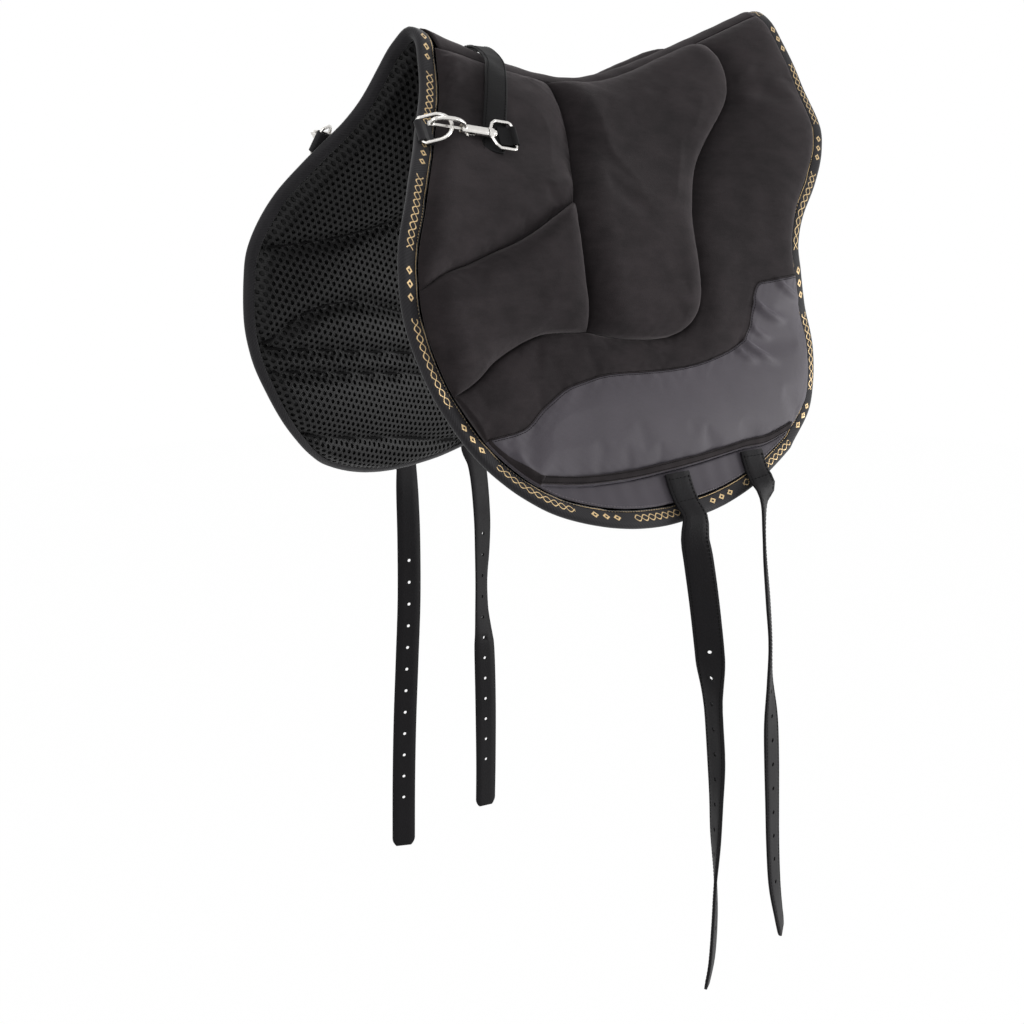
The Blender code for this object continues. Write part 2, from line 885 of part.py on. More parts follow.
def flap_cushions(prefix, side, suede, satin, foam):
    lines = seams()
    seat_front_x = seat_front_top_share * pad_length
    seat_rear_x = seat_rear_top_share * pad_length
    front_edge = below_channel(edge_stretch("spine_front", "roll_end", panel_inset))
    rear_edge = below_channel(edge_stretch("spine_rear", "surround_heel", panel_inset))
    upper = (
        front_edge, lines["seat_front_high"],
        channel_stretch(front_edge.points[0, 0], seat_front_x), lines["roll"].reversed(),
    )
    lower = (
        edge_stretch("roll_end", "lower_roll_end", panel_inset), lines["seat_front_low"],
        lines["roll"].reversed(), lines["lower_roll"].reversed(),
    )
    seat = (
        lines["seat_front"], lines["seat_rear"],
        channel_stretch(seat_front_x, seat_rear_x), lines["seat_bottom"],
    )
    flap = (
        edge_stretch("surround_tip", "hem_toe", panel_inset),
        edge_stretch("surround_heel", "hem_heel", panel_inset),
        lines["flap_top"].reversed(), lines["hem"],
    )
    corner = lines["seat_front_high"].length / lines["seat_front"].length
    seat_rows = np.concatenate([
        corner * np.array(upper_row_shares),
        mix(corner, 1.0, np.array(lower_row_shares[1:])),
    ])
    plans = (
        ("front_upper_roll", upper, upper_roll_height, upper_row_shares, column_shares, suede),
        ("front_lower_roll", lower, lower_roll_height, lower_row_shares, column_shares, suede),
        ("seat", seat, seat_height, seat_rows, column_shares, suede),
        ("flap", flap, flap_height, flap_row_shares, flap_column_shares, satin),
    )
    for name, sides, height, rows, columns, cover_material in plans:
        grid = patch(*sides, rows, columns, seam_gap)
        cushion(f"{prefix}_{name}", side, grid, height, cover_material, foam)
    inner_parts = (
        (lines["seat_rear"], seat_rows),
        (lines["seat_bottom"].reversed(), 1 - np.array(column_shares[::-1])),
        (lines["lower_roll"], 1 - np.array(column_shares[::-1])),
    )
    outer_parts = (
        (rear_edge, np.array(rear_edge_shares)),
        (lines["flap_top"], 1 - np.array(flap_column_shares[::-1])),
    )
    inner, outer = (joined(*[part[0] for part in parts]) for parts in (inner_parts, outer_parts))
    rows = (joined_shares(inner_parts), joined_shares(outer_parts))
    grid = ruled_patch(inner, outer, *rows, surround_column_shares, seam_gap)
    cushion(f"{prefix}_surround", side, grid, surround_height, suede, foam)
    strip = (
        edge_stretch("hem_toe", "strip_toe", panel_inset),
        edge_stretch("hem_heel", "strip_heel", panel_inset),
        lines["hem"], edge_stretch("strip_toe", "strip_heel", panel_inset),
    )
    grid = patch(*strip, (0.0, 0.5, 1.0), flap_column_shares, seam_gap)
    x, v = grid[..., 0], side * grid[..., 1]
    grid_solid(
        f"{prefix}_hem_strip", drape(x, v, cover_low),
        drape(x, v, cover_low + hem_strip_thickness), satin)


def joined_shares(parts):
    """Shares along courses laid end to end."""
    total = sum(course.length for course, rows in parts)
    shares = [np.zeros(1)]
    start = 0.0
    for course, rows in parts:
        shares.append((start + np.asarray(rows)[1:] * course.length) / total)
        start += course.length
    return np.concatenate(shares)


# Girth billets
def billet_frames(name, side, x_root):
    """Centres, width directions and face directions, 5 mm or so apart, down a billet."""
    hem = float(np.interp(x_root / pad_length, *np.array(hem_shares).T)) * flap_depth
    edge = edge_at(bottom_stations, 0.0)
    edge_depth = float(np.interp(x_root, edge[:, 0], edge[:, 1])) + billet_overrun
    lift = cover_low + hem_strip_thickness + billet_lift + billet_thickness / 2
    flap_part = []
    for share in (0.0, 0.33, 0.67, 1.0):
        depth = mix(hem + billet_thickness, edge_depth, share)
        ahead = billet_width / 2
        along = drape(x_root + ahead, side * depth, lift) - drape(x_root - ahead, side * depth, lift)
        down = drape(x_root, side * (depth + section_step), lift) - drape(
            x_root, side * (depth - section_step), lift)
        down /= np.linalg.norm(down)
        along -= down * (down @ along)
        level = along - down * along[2] / down[2]
        slope = math.atan2(-level[1], level[0])
        flap_part.append((*drape(x_root, side * depth, lift), slope))
    edge_place = flap_part[-1]
    hanging = [
        (
            x * billet_drop, edge_place[1] + side * out * billet_drop,
            edge_place[2] - down * billet_drop, math.radians(turn),
        )
        for down, x, out, turn in billet_course_shares[name]
    ]
    course = Course(smooth_through(flap_part + hanging, steps=8))
    count = int(course.length / billet_step)
    dense = course.at(np.linspace(0, 1, count))
    centre, turn = dense[:, :3], dense[:, 3]
    forward = np.gradient(centre, axis=0)
    forward /= np.linalg.norm(forward, axis=1)[:, None]
    width = np.stack([np.cos(turn), -np.sin(turn), 0 * turn], -1)
    width -= forward * np.sum(width * forward, axis=1)[:, None]
    width /= np.linalg.norm(width, axis=1)[:, None]
    return centre, width, np.cross(forward, width)


def billet(name, side, x_root, material):
    """A strap with a row of punched holes, each in a short cell of its own."""
    dense = billet_frames(name, side, x_root)
    steps = np.linalg.norm(np.diff(dense[0], axis=0), axis=1)
    run = np.concatenate([[0.0], np.cumsum(steps)])
    length = run[-1]
    holes = [length - tip_to_hole - n * hole_pitch for n in range(holes_per_billet)]
    half_cell = hole_cell / 2
    plain = [
        where for where in np.concatenate([
            np.linspace(0, root_length, root_cells + 1),
            np.arange(root_length + plain_cell, holes[-1] - hole_cell, plain_cell),
        ])
    ]
    cells = [hole + sign * half_cell for hole in holes for sign in (-1, 1)]
    stations = sorted(plain + cells + [length])

    def frames(places):
        return tuple(
            np.stack([np.interp(places, run, c) for c in part.T], -1) for part in dense)

    centre, width, face = frames(stations)
    half, thick = billet_width / 2, billet_thickness / 2
    corners = [
        centre + sign_w * half * width + sign_t * thick * face
        for sign_w, sign_t in ((-1, -1), (1, -1), (1, 1), (-1, 1))
    ]
    points = list(np.stack(corners, axis=1).reshape(-1, 3))
    faces = [(0, 1, 2, 3), tuple(len(points) - n for n in (4, 3, 2, 1))]
    for ring, (start, end) in enumerate(zip(stations, stations[1:])):
        near_end, far_end = 4 * ring, 4 * (ring + 1)
        for low, high in ((1, 2), (3, 0)):
            faces.append((near_end + low, near_end + high, far_end + high, far_end + low))
        hole = [h for h in holes if start < h < end]
        if not hole:
            for low, high in ((0, 1), (3, 2)):
                faces.append((near_end + low, near_end + high, far_end + high))
                faces.append((near_end + low, far_end + high, far_end + low))
            continue
        middle, across, through = (part[0] for part in frames(hole))
        onward = np.cross(across, through)
        onward *= np.sign(onward @ (centre[ring + 1] - centre[ring]))
        first = len(points)
        for sign_t in (-1, 1):
            for turn in math.pi / 3 * np.arange(6):
                points.append(middle + sign_t * thick * through + hole_radius * (
                    math.cos(turn) * across + math.sin(turn) * onward))
        for minus, plus, rim in ((0, 1, first), (3, 2, first + 6)):
            around = (
                (far_end + plus, 0, 1), (far_end + minus, 1, 2), (far_end + minus, 2, 3),
                (near_end + minus, 3, 4), (near_end + plus, 4, 5), (near_end + plus, 5, 0),
            )
            faces += [(corner, rim + here, rim + there) for corner, here, there in around]
            faces += [
                (far_end + plus, far_end + minus, rim + 1),
                (far_end + minus, near_end + minus, rim + 3),
                (near_end + minus, near_end + plus, rim + 4),
                (near_end + plus, far_end + plus, rim),
            ]
        for here in range(6):
            there = (here + 1) % 6
            faces.append((first + here, first + there, first + 6 + there, first + 6 + here))
    pivot = add_pivot(name + "_pivot", centre[0])
    return add_object(name, points, faces, material, pivot)


# Rings and tabs
def folded_band(points, thickness):
    """The closed outline of a band of cloth that follows the points."""
    points = np.asarray(points, float)
    along = np.gradient(points, axis=0)
    along /= np.linalg.norm(along, axis=1)[:, None]
    beside = np.stack([-along[:, 1], along[:, 0]], -1)
    return np.vstack([points + beside * thickness / 2, (points - beside * thickness / 2)[::-1]])


def hairpin(radius, leg, gap, low, count=9):
    """A fold round the origin with two legs towards +X, gap apart about a lower line."""
    turns = np.linspace(math.pi * 0.25, math.pi * 1.58, count)
    bend = np.stack([radius * np.cos(turns), radius * np.sin(turns)], -1)
    upper, lower = gap / 2 - low, -gap / 2 - low
    past_fold = radius * 1.45
    return np.vstack([(leg, upper), (past_fold, upper), bend, (past_fold, lower), (leg, lower)])


def ring_seat(side):
    """The place of the ring's bar on the front edge, and the pad's outward direction."""
    front = outline[:outline_labels["roll_end"] * outline_steps]
    index = int(np.argmin(np.abs(front[:, 1] - ring_depth_share * flap_depth)))
    place = front[index] + ring_bar_inset * outline_inward[index]
    height = binding_high + binding_thickness + tab_lift + tab_thickness + tab_slack + ring_wire_radius
    centre = drape(place[0], side * place[1], height)
    above = drape(place[0], side * place[1], height + binding_width)
    return Vector(centre), Vector(above - centre).normalized()


def far_corner(start, end, from_start, from_end, outward):
    """The outer corner of a triangle at given distances from its other two."""
    line = end - start
    span = line.length
    along = (from_start**2 - from_end**2 + span**2) / (2 * span)
    height = math.sqrt(max(from_start**2 - along**2, 0.0))
    line.normalize()
    aside = (outward - line * outward.dot(line)).normalized()
    return start + line * along + aside * height


def ring_path():
    """A D: the bar on the local Y axis, the crown towards +X."""
    round_part = ring_half_width
    straight = ring_reach - round_part
    turns = np.linspace(-math.pi / 2, math.pi / 2, 13)
    crown = [(straight + round_part * math.cos(a), round_part * math.sin(a), 0.0) for a in turns]
    bar = [(0.0, share * round_part, 0.0) for share in (0.86, 0.43, 0.0, -0.43, -0.86)]
    corner = round_part * 0.14
    return crown + [(corner, round_part, 0.0)] + bar + [(corner, -round_part, 0.0)]


def ring_and_tab(prefix, side, towards, metal, webbing):
    """The ring and its tab; gives the middle of the ring's crown."""
    centre, outward = ring_seat(side)
    base = frame_matrix(centre, towards - centre - outward * outward.dot(towards - centre), outward)
    across = base.to_3x3() @ Vector((0.0, 1.0, 0.0))
    crown = far_corner(centre, towards, ring_reach, bar_distance, outward)
    axis = crown - centre
    axis = (axis - across * across.dot(axis)).normalized()
    lean = frame_matrix(centre, axis, axis.cross(across))
    pivot = add_pivot(f"{prefix}_ring_pivot", centre)
    sections = round_sections(ring_path(), ring_wire_radius, 6, closed=True)
    shade_round(add_local(f"{prefix}_ring", sections, True, lean, metal, pivot))
    radius = ring_wire_radius + tab_slack + tab_thickness / 2
    leg = tab_end_inset - ring_bar_inset
    low = -radius
    turns = np.linspace(math.pi * 0.42, 3 * math.pi / 2, 8)
    bend = np.stack([radius * np.cos(turns), radius * np.sin(turns)], -1)
    course = np.vstack([
        (leg, low + tab_thickness + tab_slack),
        (leg * 0.62, low + tab_thickness + tab_slack),
        bend,
        (leg * 0.5, low),
        (leg, low),
    ])
    profile = folded_band(course, tab_thickness)
    half = tab_width / 2
    sections = np.array([[(a, y, b) for a, b in profile] for y in (-half, half)])
    add_local(f"{prefix}_ring_tab", sections, False, base, webbing)
    return lean @ Vector((ring_reach, 0.0, 0.0))


# Bolt snaps, in a frame whose origin is where the ring's wire passes through the eye,
# X towards the strap and Z out of the pad
def add_local(name, sections, closed, frame, material, pivot=None):
    shape = sections.shape
    moved = placed(sections.reshape(-1, 3), frame).reshape(shape)
    vertices, faces = swept(moved, closed=closed)
    return add_object(name, vertices, faces, material, pivot)


barrel_rear = barrel_front + barrel_length
loop_start = barrel_rear + neck_length + head_length + head_room
bar_distance = barrel_rear + loop_length + collar_length


def turned(profile, height, around):
    """Sections of a piece turned round a line along the local X axis."""
    turns = 2 * math.pi * np.arange(around) / around
    return np.array([
        np.stack([np.full(around, x), radius * np.cos(turns), height + radius * np.sin(turns)], -1)
        for x, radius in profile
    ])


def snap_body(prefix, frame, metal, pivot):
    neck_end = barrel_rear + neck_length
    profile = (
        (barrel_front, barrel_radius), (barrel_rear, barrel_radius), (barrel_rear, neck_radius),
        (neck_end, neck_radius), (neck_end, head_radius), (neck_end + head_length, head_radius),
    )
    body = add_local(
        f"{prefix}_snap_body", turned(profile, barrel_low, 14), False, frame, metal, pivot)
    inside = barrel_low + barrel_radius * 0.55
    arc = [
        (barrel_front + barrel_radius * 0.8, 0.0, inside),
        (barrel_front - snap_wire_radius * 0.3, 0.0, mix(inside, eye_high, 0.55)),
        (barrel_front * 0.35, 0.0, mix(inside, eye_high, 0.95)),
        (-eye_tip * 0.25, 0.0, eye_high),
        (-eye_tip * 0.68, 0.0, eye_high * 0.80),
        (-eye_tip * 0.95, 0.0, eye_high * 0.28),
        (-eye_tip, 0.0, -eye_high * 0.25),
        (-eye_tip * 0.985, 0.0, bolt_low),
    ]
    hook_path = smooth_through(arc, steps=2)
    hook = round_sections(hook_path, snap_wire_radius, 8, closed=False)
    boolean_into(body, add_local("hook", hook, False, frame, metal), "UNION")
    seat = cylinder(
        (-eye_tip - snap_wire_radius, 0, bolt_low),
        (-eye_tip + snap_wire_radius * 1.6, 0, bolt_low), snap_wire_radius * 1.22, 12)
    boolean_into(body, add_local("seat", seat, False, frame, metal), "UNION")
    bore_radius = bolt_radius + bore_slack
    bore_end = barrel_rear - barrel_radius * 0.6
    bore = cylinder((-eye_tip + tip_seat_gap, 0, bolt_low), (bore_end, 0, bolt_low), bore_radius, 12)
    slot_front = bolt_rear - stud_setback - stud_radius - bore_slack
    slot_rear = bolt_rear - stud_setback + stud_radius + bore_slack + bolt_travel
    half = stud_radius + bore_slack
    depth = barrel_radius * 2
    corners = [(-1, -1), (1, -1), (1, 1), (-1, 1)]
    slot = np.array([
        [(x, stud_side * (depth / 2 + b * depth / 2), bolt_low + a * half) for a, b in corners]
        for x in (slot_front, slot_rear)
    ])
    for shape in (bore, slot):
        tool = add_local("tool", shape, False, frame, metal)
        boolean_into(body, tool, "DIFFERENCE")
    return body


stud_side = -1
bolt_front = -eye_tip + tip_seat_gap * 2
bolt_rear = barrel_front + bolt_tail


def snap_bolt(prefix, frame, metal, pivot):
    rod = cylinder((bolt_front, 0, bolt_low), (bolt_rear, 0, bolt_low), bolt_radius, 10)
    bolt = add_local(f"{prefix}_snap_bolt", rod, False, frame, metal, pivot)
    x = bolt_rear - stud_setback
    reach = stud_length + barrel_radius * 0.4
    stud = cylinder((x, 0, bolt_low), (x, stud_side * reach, bolt_low), stud_radius, 8)
    boolean_into(bolt, add_local("stud", stud, False, frame, metal), "UNION")
    return bolt


def bolt_spring(prefix, frame, metal, pivot):
    start = bolt_rear + spring_wire_radius + bore_slack
    end = barrel_rear - barrel_radius * 0.6 - spring_wire_radius - bore_slack
    count = spring_turns * spring_sides
    turns = 2 * math.pi * np.arange(count + 1) / spring_sides
    path = np.stack([
        np.linspace(start, end, count + 1),
        spring_radius * np.cos(turns),
        bolt_low + spring_radius * np.sin(turns),
    ], -1)
    wire = round_sections(path, spring_wire_radius, 3, closed=False)
    return add_local(f"{prefix}_bolt_spring", wire, False, frame, metal, pivot)


def swivel_eye(prefix, frame, metal, pivot):
    """The collar that turns on the snap's neck, and its loop for the strap."""
    middle = barrel_rear + neck_length / 2
    start = middle - collar_length / 2
    collar = cylinder((start, 0, barrel_low), (start + collar_length, 0, barrel_low), collar_radius, 14)
    eye = add_local(f"{prefix}_swivel_eye", collar, False, frame, metal, pivot)
    root = collar_radius * 0.72
    half = loop_half_width
    bend = loop_wire_radius * 2
    side_path = [
        (middle, root, 0.0),
        (middle + collar_length * 0.35, root + loop_wire_radius * 1.6, 0.0),
        (loop_start - collar_length * 0.4, half * 0.78, 0.0),
        (loop_start + loop_wire_radius, half, 0.0),
        (bar_distance - bend, half, 0.0),
        (bar_distance - bend * 0.3, half - bend * 0.3, 0.0),
        (bar_distance, half - bend, 0.0),
    ]
    path = side_path + [(x, -y, z) for x, y, z in side_path[::-1]]
    path = np.array(path) + (0, 0, barrel_low)
    loop = round_sections(path, loop_wire_radius, 8, closed=False)
    boolean_into(eye, add_local("loop", loop, False, frame, metal), "UNION")
    hole = cylinder(
        (start - collar_length, 0, barrel_low), (start + 2 * collar_length, 0, barrel_low),
        neck_radius + collar_slack, 12)
    boolean_into(eye, add_local("hole", hole, False, frame, metal), "DIFFERENCE")
    return eye


def strap_half():
    """Centres, width directions and face directions of the strap's near half."""
    sizes = (pad_length, flap_depth, strap_height)
    course = smooth_through(np.array(strap_half_shares) * sizes, steps=2)
    course[:, 1] *= NEAR
    centre = drape(*course.T)
    above = drape(course[:, 0], course[:, 1], course[:, 2] + strap_thickness)
    onward = centre[-1] - centre[-2]
    onward /= np.linalg.norm(onward)
    tail = [centre[-1] + onward * strap_tail * share for share in (tail_eye_share, 1.0)]
    along = np.gradient(centre, axis=0)
    along[0] = (0.0, NEAR, 0.0)
    along[-1] = onward
    along /= np.linalg.norm(along, axis=1)[:, None]
    outward = above - centre
    width = np.cross(along, outward)
    width /= np.linalg.norm(width, axis=1)[:, None]
    width *= np.sign(width[:, :1])
    face = np.cross(width, along) * NEAR
    face *= np.sign(np.sum(face * outward, axis=1))[:, None]
    turns = strap_twist * eased(np.linspace(0.0, 1.0, len(centre)))[:, None]
    width, face = (
        width * np.cos(turns) + face * np.sin(turns), face * np.cos(turns) - width * np.sin(turns))
    centre = np.vstack([centre, tail])
    width = np.vstack([width, width[-1:], width[-1:]])
    face = np.vstack([face, face[-1:], face[-1:]])
    return centre, width, face


def grab_strap(material, pivot):
    near = strap_half()
    far = [part * (1, -1, 1) for part in near]
    centre, width, face = (np.vstack([n[:0:-1], f]) for n, f in zip(near, far))
    half, thick = strap_width / 2, strap_thickness / 2
    corners = [
        centre + sign_w * half * width + sign_t * thick * face
        for sign_w, sign_t in ((-1, -1), (1, -1), (1, 1), (-1, 1))
    ]
    vertices, faces = swept(np.stack(corners, axis=1), closed=False)
    return add_object("grab_strap", vertices, faces, material, pivot)


def eye_bar_seat(side):
    """Where the snap's loop meets the strap's rear edge, and the strap's face direction."""
    centre, width, face = (part[-2] * (1, side * NEAR, 1) for part in strap_half())
    fold = loop_wire_radius + chape_slack + chape_thickness
    bar = centre + width * (strap_width / 2 + fold + chape_edge_gap) + face * eye_lift
    return Vector(bar), Vector(face)


def chape(prefix, frame, seat, outward, material, pivot):
    """The leather folded round the eye's bar, its legs either side of the strap's edge."""
    place = frame @ Vector((bar_distance, 0.0, barrel_low))
    lift = eye_lift + outward.dot(place - seat)
    rearward = frame.to_3x3() @ Vector((1.0, 0.0, 0.0))
    rearward = rearward - outward * outward.dot(rearward)
    local = frame_matrix(place, -rearward, outward)
    radius = loop_wire_radius + chape_slack + chape_thickness / 2
    gap = strap_thickness + 2 * chape_slack + chape_thickness
    leg = radius + chape_edge_gap + chape_leg
    profile = folded_band(hairpin(radius, leg, gap, lift), chape_thickness)
    half = chape_width / 2
    sections = np.array([[(a, y, b) for a, b in profile] for y in (-half, half)])
    add_local(f"{prefix}_strap_chape", sections, False, local, material, pivot)


def hardware(metal, dark_metal, webbing, leather):
    places = {}
    for prefix, side in SIDES:
        bar, outward = eye_bar_seat(side)
        towards = bar - outward * barrel_low
        crown = ring_and_tab(prefix, side, towards, metal, webbing)
        places[prefix] = crown, bar, outward, frame_matrix(crown, towards - crown, outward)
    strap_pivot = add_pivot("grab_strap_pivot", (places["near"][0] + places["far"][0]) / 2)
    grab_strap(leather, strap_pivot)
    for prefix, (crown, bar, outward, frame) in places.items():
        swivel = add_pivot(
            f"{prefix}_swivel_pivot", frame @ Vector((0.0, 0.0, barrel_low)), strap_pivot)
        bolt_pivot = add_pivot(
            f"{prefix}_bolt_pivot", frame @ Vector((0.0, 0.0, bolt_low)), swivel)
        chape(prefix, frame, bar, outward, leather, strap_pivot)
        for made in (
            swivel_eye(prefix, frame, metal, strap_pivot),
            snap_body(prefix, frame, metal, swivel),
            snap_bolt(prefix, frame, metal, bolt_pivot),
            bolt_spring(prefix, frame, dark_metal, swivel),
        ):
            shade_round(made)


def main():
    clear_scene()
    mesh_cloth = finish("black spacer mesh", (0.012, 0.012, 0.013), 0.85)
    foam = finish("black foam", (0.05, 0.05, 0.055), 0.95)
    suede = finish("black microsuede", (0.026, 0.021, 0.023), 0.9)
    satin = finish("dark grey satin cloth", (0.09, 0.08, 0.10), 0.7)
    tape = finish("black binding tape", (0.017, 0.015, 0.017), 0.7)
    webbing = finish("black webbing", (0.015, 0.014, 0.015), 0.8)
    leather = finish("black strap leather", (0.014, 0.013, 0.014), 0.55)
    metal = finish("nickel plate", (0.72, 0.69, 0.66), 0.18, 1.0)
    spring_steel = finish("spring steel", (0.35, 0.35, 0.36), 0.35, 1.0)
    for prefix, side in SIDES:
        lining(f"{prefix}_lining", side, mesh_cloth)
        flap_cushions(prefix, side, suede, satin, foam)
    girth_web("front_girth_web", front_billet_x, webbing)
    girth_web("rear_girth_web", rear_billet_x, webbing)
    spine_band(suede)
    binding(tape)
    for prefix, side in SIDES:
        billet(f"{prefix}_front_billet", side, front_billet_x, leather)
        billet(f"{prefix}_rear_billet", side, rear_billet_x, leather)
    hardware(metal, spring_steel, webbing, leather)


main()
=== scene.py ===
import math

import bmesh
import bpy
import numpy as np
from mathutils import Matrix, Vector
from mathutils.bvhtree import BVHTree

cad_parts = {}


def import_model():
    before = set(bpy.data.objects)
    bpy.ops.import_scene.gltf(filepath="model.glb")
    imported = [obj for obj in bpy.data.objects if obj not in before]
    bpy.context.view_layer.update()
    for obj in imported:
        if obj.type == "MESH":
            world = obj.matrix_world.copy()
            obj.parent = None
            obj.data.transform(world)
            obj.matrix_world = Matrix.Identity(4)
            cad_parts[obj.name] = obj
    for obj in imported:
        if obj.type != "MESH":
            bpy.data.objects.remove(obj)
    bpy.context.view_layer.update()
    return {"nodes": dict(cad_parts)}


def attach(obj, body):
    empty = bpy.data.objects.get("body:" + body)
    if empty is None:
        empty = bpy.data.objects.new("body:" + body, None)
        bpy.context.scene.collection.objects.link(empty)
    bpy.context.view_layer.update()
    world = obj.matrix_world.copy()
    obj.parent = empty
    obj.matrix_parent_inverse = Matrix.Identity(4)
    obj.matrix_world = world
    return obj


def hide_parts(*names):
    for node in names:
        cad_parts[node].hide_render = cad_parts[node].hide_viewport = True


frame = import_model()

# Looks of a padded bareback pad, in metres: -X towards the withers, -Y the near side.
# A place on a flap is x along the spine, v down the flap along its curve, w outwards.
scene = bpy.context.scene
scene.view_settings.view_transform = "Standard"
sides = {"near": -1, "far": 1}

pad = {
    "length": 0.520, "flapDepth": 0.500, "halfSpread": 0.200, "flapDrop": 0.460,
    "frontRise": 0.038, "rearRise": 0.103, "frontReachShare": 0.385, "rearReachShare": 0.606,
    "frontSoftness": 0.50, "rearSoftness": 0.25,
    "wideningShare": 0.33, "wideStart": -0.50, "wideEnd": 0.115,
}
# Half a cross-section of the pad: out and down, as shares of the spread and the drop
sectionShares = (
    (0.0, 0.0), (0.085, 0.026), (0.160, 0.083), (0.300, 0.204), (0.465, 0.311), (0.590, 0.413),
    (0.655, 0.522), (0.690, 0.630), (0.745, 0.733), (0.795, 0.833), (0.865, 0.915), (0.985, 0.989),
    (1.120, 1.060),
)
# The outline and seams of one flap, as shares of the pad's length and the flap's depth
outlineShares = (
    ("spineFront", -0.385, 0.0), (None, -0.400, 0.075), (None, -0.430, 0.180),
    (None, -0.488, 0.304), (None, -0.548, 0.428), (None, -0.590, 0.540),
    ("rollEnd", -0.599, 0.620), (None, -0.594, 0.700), (None, -0.576, 0.765),
    ("lowerRollEnd", -0.548, 0.822), ("surroundTip", -0.490, 0.900), (None, -0.432, 0.952),
    ("hemToe", -0.388, 0.980), ("stripToe", -0.345, 0.997), (None, -0.280, 1.004),
    (None, -0.208, 1.000), (None, -0.130, 0.985), (None, -0.030, 0.958), (None, 0.060, 0.940),
    (None, 0.154, 0.927), ("stripHeel", 0.235, 0.910), ("hemHeel", 0.262, 0.899),
    (None, 0.338, 0.848), (None, 0.374, 0.742), (None, 0.374, 0.640),
    ("surroundHeel", 0.373, 0.575), (None, 0.379, 0.520), (None, 0.410, 0.474),
    (None, 0.477, 0.426), (None, 0.537, 0.374), (None, 0.579, 0.308), (None, 0.602, 0.190),
    (None, 0.604, 0.085), ("spineRear", 0.606, 0.0),
)
seamShares = {
    "seatFront": (
        (-0.085, 0.120), (-0.100, 0.190), (-0.120, 0.245), (-0.160, 0.336), (-0.187, 0.395),
        (-0.204, 0.476), (-0.208, 0.548), (-0.210, 0.607),
    ),
    "roll": (
        (-0.160, 0.336), (-0.232, 0.392), (-0.285, 0.433), (-0.340, 0.471), (-0.398, 0.506),
        (-0.455, 0.543), (-0.515, 0.578),
    ),
    "lowerRoll": (
        (-0.210, 0.607), (-0.292, 0.628), (-0.335, 0.650), (-0.379, 0.682), (-0.425, 0.720),
        (-0.470, 0.765),
    ),
    "seatBottom": (
        (-0.210, 0.607), (-0.165, 0.608), (-0.096, 0.603), (-0.029, 0.594), (0.014, 0.577),
    ),
    "seatRear": (
        (0.378, 0.055), (0.383, 0.096), (0.371, 0.140), (0.338, 0.180), (0.246, 0.240),
        (0.192, 0.278), (0.148, 0.322), (0.110, 0.372), (0.084, 0.424), (0.069, 0.474),
        (0.058, 0.520), (0.041, 0.553), (0.014, 0.577),
    ),
    "flapTop": (
        (0.252, 0.554), (0.215, 0.546), (0.195, 0.563), (0.182, 0.594), (0.165, 0.626),
        (0.130, 0.643), (0.067, 0.650), (-0.012, 0.660), (-0.092, 0.672), (-0.156, 0.684),
        (-0.204, 0.698), (-0.250, 0.720), (-0.288, 0.741), (-0.342, 0.788), (-0.390, 0.840),
    ),
    "hem": (
        (-0.281, 0.930), (-0.175, 0.898), (-0.094, 0.873), (-0.020, 0.856), (0.045, 0.848),
        (0.110, 0.851), (0.175, 0.866),
    ),
}
seatTopShares = (-0.081, 0.366)
layers = {
    "coverBase": 0.0092, "bindingWidth": 0.016, "bindingThick": 0.0016,
    "bindingHigh": 0.0068, "bindingSlack": 0.0008, "panelInset": 0.0172,
}
channel = {"rear": 0.010, "front": 0.028, "narrowX": 0.120, "wideX": -0.190}
rng = np.random.default_rng(11)


def mix(a, b, share):
    return a + (b - a) * share


def eased(share):
    share = np.clip(share, 0.0, 1.0)
    return share * share * (3 - 2 * share)


def unit(vectors):
    return vectors / np.linalg.norm(vectors, axis=-1, keepdims=True)


def asideOf(along):
    along = unit(along)
    return np.stack([-along[:, 1], along[:, 0]], -1)


def runOf(points):
    return np.concatenate([[0.0], np.cumsum(np.linalg.norm(np.diff(points, axis=0), axis=1))])


def valuesAt(where, run, values):
    return np.stack([np.interp(where, run, column) for column in values.T], -1)


def smoothThrough(points, steps=12, closed=False):
    knots = np.asarray(points, float)
    if closed:
        padded = np.vstack([knots[-1:], knots, knots[:2]])
    else:
        padded = np.vstack([2 * knots[0] - knots[1], knots, 2 * knots[-1] - knots[-2]])
    t = np.arange(steps)[:, None] / steps
    pieces = []
    for before, start, end, after in zip(padded, padded[1:], padded[2:], padded[3:]):
        pieces.append(
            (2 * t**3 - 3 * t**2 + 1) * start + (t**3 - 2 * t**2 + t) * (end - before) / 2
            + (3 * t**2 - 2 * t**3) * end + (t**3 - t**2) * (after - start) / 2)
    if not closed:
        pieces.append(knots[-1:])
    return np.vstack(pieces)


def onPad(shares):
    return np.asarray(shares, float) * (pad["length"], pad["flapDepth"])


class Course:
    def __init__(self, points):
        self.points = np.asarray(points, float)
        self.run = runOf(self.points)
        self.length = self.run[-1]

    def at(self, share):
        return valuesAt(np.asarray(share, float) * self.length, self.run, self.points)

    def evenly(self, spacing):
        return self.at(np.linspace(0, 1, int(self.length / spacing)))

    def flipped(self):
        return Course(self.points[::-1])

    def moved(self, offset):
        return Course(self.points + offset * asideOf(np.gradient(self.points, axis=0)))


def joined(*courses):
    return Course(np.vstack([courses[0].points] + [c.points[1:] for c in courses[1:]]))


# The curved sheet that every layer of the pad follows
def sectionTable(steps=24):
    half = np.asarray(sectionShares) * (pad["halfSpread"], pad["flapDrop"])
    dense = smoothThrough(np.vstack([(half * (-1, 1))[:0:-1], half]), steps)
    run = runOf(dense)
    return run - run[(len(half) - 1) * steps], dense[:, 0], dense[:, 1]


sectionRun, sectionOut, sectionDrop = sectionTable()
sectionStep = pad["flapDepth"] / 500


